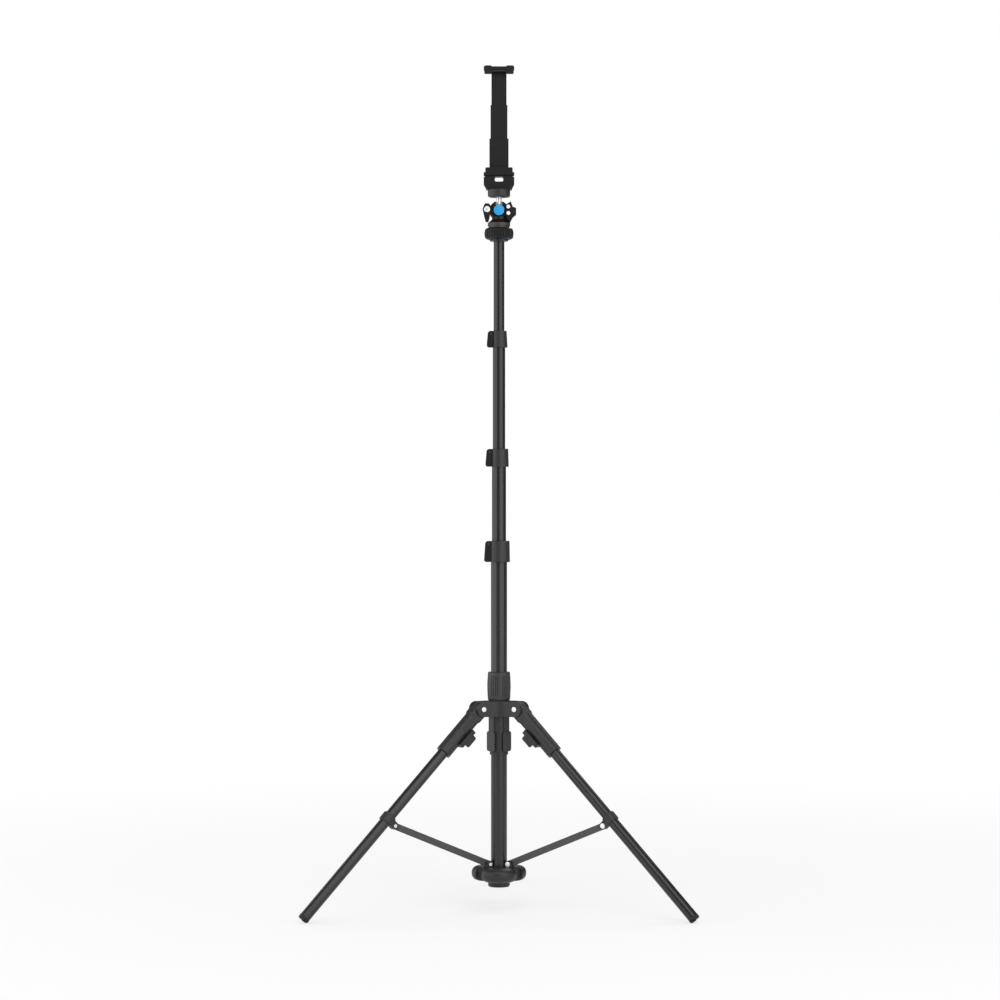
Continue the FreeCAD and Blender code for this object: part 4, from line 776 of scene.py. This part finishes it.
# %% Tubular rivets
RIVET_HEAD_RADIUS, RIVET_HEAD_HEIGHT = 4.7, 1.4
RIVET_HALF_LENGTH = 6.0
RIVET_SHANK_RADIUS, RIVET_TAIL_RADIUS, RIVET_BORE_RADIUS = 2.0, 2.9, 1.2
RIVET_TAIL_HEIGHT, RIVET_BORE_DEPTH = 0.8, 1.7
RIVET_EASE, RIVET_STEPS = 0.12, 40
DOME_ROWS = 10


def dome_outline(radius, height, base):
    # The side of a low dome, from its rim in to its top
    ball = (radius ** 2 + height ** 2) / (2 * height)
    widest = math.asin(radius / ball)
    angles = [widest * (1 - step / DOME_ROWS) for step in range(DOME_ROWS + 1)]
    return [
        (ball * math.sin(angle), base + ball * math.cos(angle) - (ball - height), 0)
        for angle in angles
    ]


def rivet(centre, axis):
    start = centre - axis * RIVET_HALF_LENGTH * MM
    dome = dome_outline(RIVET_HEAD_RADIUS, RIVET_HEAD_HEIGHT, 0.0)
    tail = 2 * RIVET_HALF_LENGTH
    outline = [(radius, -along) for radius, along, _ in reversed(dome)] + [
        (RIVET_SHANK_RADIUS, 0), (RIVET_SHANK_RADIUS, tail), (RIVET_TAIL_RADIUS, tail),
        (RIVET_TAIL_RADIUS, tail + RIVET_TAIL_HEIGHT),
        (RIVET_BORE_RADIUS, tail + RIVET_TAIL_HEIGHT),
        (RIVET_BORE_RADIUS, tail - RIVET_BORE_DEPTH), (0, tail - RIVET_BORE_DEPTH)
    ]
    return lathe_shape(eased(outline, RIVET_EASE, closed=False), start, axis, RIVET_STEPS)


FOLD_JOINTS = {joint["name"]: joint for joint in frame["joints"] if joint["name"].endswith("_fold")}
spreader_rivets = []
for number in THREE:
    joint = FOLD_JOINTS[f"strut_{number}_fold"]
    spreader_rivets.append(rivet(Vector(joint["pos_m"]), Vector(joint["axis"])))
    joint = FOLD_JOINTS[f"leg_{number}_fold"]
    collar_rivet = rivet(Vector(joint["pos_m"]), Vector(joint["axis"]))
    stand_for(f"collar_rivet_{number}", [collar_rivet], f"collar_rivet_{number}_turned")
stand_for("spreader_rivets", spreader_rivets, "spreader_rivets_turned")
print("rivets of the stays", 2 * len(spreader_rivets))

# %% [markdown]
# ## Pins of the hub
# Each leg turns between two ears of the hub, and a short pin with a domed head sits in
# each ear. Six pins are one node, so they become one piece: a pair for each leg, pointing
# away from each other along the axis of that leg's fold. The loop of leg, stay and hub is
# opened at these pins, so the frame has no joint here, and their place is a radius and a
# height.

# %% Six headed pins
HUB_PIVOT_RADIUS, HUB_PIVOT_HEIGHT = 39.2, 316.4
EAR_INNER, EAR_OUTER = 12.0, 15.6
PIN_RADIUS, PIN_HEAD_RADIUS, PIN_HEAD_HEIGHT = 3.0, 4.6, 1.4
SMALL_EASE, SMALL_STEPS = 0.1, 48

hub_rivets = []
ear = EAR_OUTER - EAR_INNER
for number in THREE:
    axis = Vector(FOLD_JOINTS[f"strut_{number}_fold"]["axis"])
    radial = axis.cross(UP)
    centre = (radial * HUB_PIVOT_RADIUS + UP * HUB_PIVOT_HEIGHT) * MM
    for side in (-1, 1):
        outline = [(0, 0), (PIN_RADIUS, 0), (PIN_RADIUS, ear)]
        outline += dome_outline(PIN_HEAD_RADIUS, PIN_HEAD_HEIGHT, ear)
        start = centre + axis * side * EAR_INNER * MM
        pin = lathe_shape(eased(outline, SMALL_EASE, closed=False), start, axis * side, SMALL_STEPS)
        hub_rivets.append(pin)
stand_for("hub_rivets", hub_rivets, "hub_rivets_turned")
print("pins of the hub", len(hub_rivets))

# %% [markdown]
# ## Screws of the side plate
# Two bright screws hold the plate at the side of the ball's housing. Their low domes stop
# short of the middle and dip into a recess for the driver. A real recess has corners, but
# this one is only about two millimetres wide and reads as a dark dot, so it is turned too.

# %% Two screws
SCREW_X, SCREW_FACE, SCREW_HALF_PITCH, SCREW_RISE = 16.55, -12.0, 5.75, 0.5
SCREW_LENGTH, SCREW_RADIUS = 14.0, 1.6
SCREW_HEAD_RADIUS, SCREW_HEAD_HEIGHT = 3.4, 1.0
SCREW_DOME_ROWS = 7
RECESS_RIM, RECESS_RIM_HEIGHT = 1.15, 0.86
RECESS_FOOT, RECESS_FOOT_HEIGHT = 1.0, 0.15

ball_height = foot_of("ball_stem") / MM + BALL_RADIUS
screws = []
for side in (-1, 1):
    height = ball_height + side * SCREW_HALF_PITCH + SCREW_RISE
    place = Vector((SCREW_X, SCREW_FACE, height)) * MM
    outline = [(0, -SCREW_LENGTH), (SCREW_RADIUS, -SCREW_LENGTH), (SCREW_RADIUS, 0)]
    outline += dome_outline(SCREW_HEAD_RADIUS, SCREW_HEAD_HEIGHT, 0.0)[:SCREW_DOME_ROWS]
    outline += [(RECESS_RIM, RECESS_RIM_HEIGHT), (RECESS_FOOT, RECESS_FOOT_HEIGHT), (0, 0)]
    screws.append(lathe_shape(eased(outline, SMALL_EASE, closed=False), place, FRONT, SMALL_STEPS))
stand_for("bracket_screws", screws, "bracket_screws_turned")
print("screws", len(screws))

# %% [markdown]
# ## Pieces that keep their own mesh
# The collet, the bushes and the pins of the flip locks hardly show, and their solids are
# right as they are. They only get their finish, and smooth shading.

# %% Finishes on the remaining solids
kept = [node for node, solid in frame["nodes"].items() if not solid.hide_render]
for node in kept:
    mesh = frame["nodes"][node].data
    mesh.materials.clear()
    mesh.materials.append(MATERIALS[SLOT_OF[node]])
    for polygon in mesh.polygons:
        polygon.use_smooth = True
print("solids that stay", kept)

# %% [markdown]
# ## The floor
# A studio picture stands on white paper. Paper bright enough to look white would throw so
# much light back at the tripod that its blacks turn grey. So the floor is a pale grey for
# everything but the camera, for which part of it glows: a mix of its own colour, which
# takes the shadow of the feet, and plain white. The share of white grows outward, so the
# shadow stays and the far edge melts into the background. In glossy pieces the floor
# shows only in part, and behind clear ones in full.

# %% A pale floor with a soft shadow
FLOOR_HALF = 14.0
FLOOR_GREY = 0.86
FLOOR_IN_GLOSS = 0.2
FADE_START, FADE_END = 0.2, 2.6
WHITE_SHARE_NEAR, WHITE_SHARE_FAR = 0.66, 1.0


def ray_kinds(nodes):
    names = ("Is Camera Ray", "Is Glossy Ray", "Is Transmission Ray")
    return [nodes.node("ShaderNodeLightPath", output=name) for name in names]


floor_shape = bmesh.new()
bmesh.ops.create_grid(floor_shape, x_segments=1, y_segments=1, size=FLOOR_HALF)
floor = add_object("floor", floor_shape)
floor.location = (0, 0, cad_box[0].z)

paper = Finish("pale_floor", Roughness=0.9, Base_Color=grey(FLOOR_GREY), Specular_IOR_Level=0.1)
camera_ray, glossy_ray, through_ray = ray_kinds(paper)
seen = camera_ray + glossy_ray * FLOOR_IN_GLOSS + through_ray
reach = paper.node(
    "ShaderNodeVectorMath", {"operation": "LENGTH"}, {0: paper.place()}, output="Value"
)
fade = paper.node(
    "ShaderNodeMapRange", {"interpolation_type": "SMOOTHSTEP"},
    {"Value": reach, "From Min": FADE_START, "From Max": FADE_END,
     "To Min": WHITE_SHARE_NEAR, "To Max": WHITE_SHARE_FAR}
)
glow = paper.node("ShaderNodeEmission", {}, {"Color": grey(1.0)})
own_light = Value(paper, paper.shader.outputs[0])
blend = paper.node("ShaderNodeMixShader", {}, {0: seen * fade, 1: own_light, 2: glow})
paper.feed(paper.tree.nodes["Material Output"], {"Surface": blend})
floor.data.materials.append(paper.material)
print("floor at", round(floor.location.z, 4), "m")

# %% [markdown]
# ## The world
# The camera sees pure white behind the tripod. A world that bright all round would also
# wash out every highlight, so the other rays get far less: a weak even light on all
# surfaces, and in glossy ones a nearly black room. Only straight behind the tripod does
# the room turn white for them, which draws a thin pale rim on the tubes, as a white wall
# does.

# %% The room round the tripod
WORLD_DIFFUSE = 0.3
ROOM_IN_GLOSS, WALL_IN_GLOSS = 0.06, 1.0
WALL_START, WALL_FULL = 0.97, 0.995

world = bpy.data.worlds.new("studio")
world.use_nodes = True
bpy.context.scene.world = world
room = Nodes(world.node_tree)
camera_ray, glossy_ray, through_ray = ray_kinds(room)
direction = room.node("ShaderNodeTexCoord", output="Generated")
backward = room.node("ShaderNodeSeparateXYZ", {}, {0: direction}, output="Y")
behind = room.node(
    "ShaderNodeMapRange", {"interpolation_type": "SMOOTHSTEP"},
    {"Value": backward, "From Min": WALL_START, "From Max": WALL_FULL,
     "To Min": ROOM_IN_GLOSS, "To Max": WALL_IN_GLOSS}
)
others = 1.0 - camera_ray
even = (1.0 - glossy_ray) * (1.0 - through_ray) * WORLD_DIFFUSE
strength = camera_ray + others * (through_ray + glossy_ray * behind) + others * even
room.feed(world.node_tree.nodes["Background"], {"Color": grey(1.0), "Strength": strength})
print("world nodes", len(world.node_tree.nodes))

# %% [markdown]
# ## The lamps
# Black tubes are drawn by what they mirror. A point lamp would leave a bright hair line on
# each, so large soft boxes stand round the tripod. Three at the sides, with a gap in
# front, give each tube two broad grey stripes and a dark core between them. One high in
# front lights the faces that look up, and one high at the back keeps the far side from
# sinking into black. They start well above the floor, so their edges draw no line on it.

# %% Five soft boxes
SIDE_HEIGHT, TOP_HEIGHT = 1.3, 3.6
AIM_DROP = 0.1


def soft_box(name, azimuth, distance, height, size, brightness):
    # Brightness is the radiance of the box's face, so its power grows with its area
    data = bpy.data.lights.new(name, "AREA")
    data.shape = "RECTANGLE"
    data.size, data.size_y = size
    data.energy = brightness * math.pi * size[0] * size[1]
    lamp = bpy.data.objects.new(name, data)
    angle = math.radians(azimuth)
    lamp.location = (distance * math.sin(angle), -distance * math.cos(angle), height)
    target = Vector((0, 0, min(height, SIDE_HEIGHT) - AIM_DROP))
    lamp.rotation_mode = "QUATERNION"
    lamp.rotation_quaternion = (target - lamp.location).to_track_quat("-Z", "Y")
    lamp.visible_camera = False
    bpy.context.scene.collection.objects.link(lamp)


# Azimuths in degrees from the front, to the right; all else in metres
SOFT_BOXES = {
    "left_box": dict(azimuth=-64, distance=2.7, height=SIDE_HEIGHT, size=(2.9, 2.5), brightness=1.6),
    "left_back_box": dict(
        azimuth=-112, distance=2.7, height=SIDE_HEIGHT, size=(1.9, 2.5), brightness=1.2
    ),
    "right_box": dict(azimuth=42, distance=2.7, height=SIDE_HEIGHT, size=(3.2, 2.5), brightness=1.6),
    "front_top_box": dict(
        azimuth=0, distance=3.0, height=TOP_HEIGHT, size=(4.4, 2.8), brightness=1.75
    ),
    "back_top_box": dict(
        azimuth=155, distance=2.4, height=TOP_HEIGHT, size=(4.0, 2.4), brightness=2.0
    ),
}
for name, form in SOFT_BOXES.items():
    soft_box(name, **form)
print("lamps", len(bpy.data.lights))

# %% [markdown]
# ## The camera
# The camera stands level, straight in front, at about half the tripod's height and far
# away. A long lens from there shows the upright column without leaning lines, and both
# front feet just below the foot of the column.

# %% A long lens from the front
CAMERA_SIDE, CAMERA_DISTANCE, CAMERA_HEIGHT = 0.0018, 5.25, 0.686
LENS, SENSOR = 106.5, 36.0

camera_data = bpy.data.cameras.new("camera")
camera_data.lens = LENS
camera_data.sensor_width = SENSOR
camera = bpy.data.objects.new("camera", camera_data)
camera.location = (CAMERA_SIDE, -CAMERA_DISTANCE, CAMERA_HEIGHT)
camera.rotation_euler = (math.radians(90), 0, 0)
bpy.context.scene.collection.objects.link(camera)
bpy.context.scene.camera = camera
bpy.context.scene.view_settings.view_transform = "Standard"
print("camera at", [round(part, 4) for part in camera.location])

# %% [markdown]
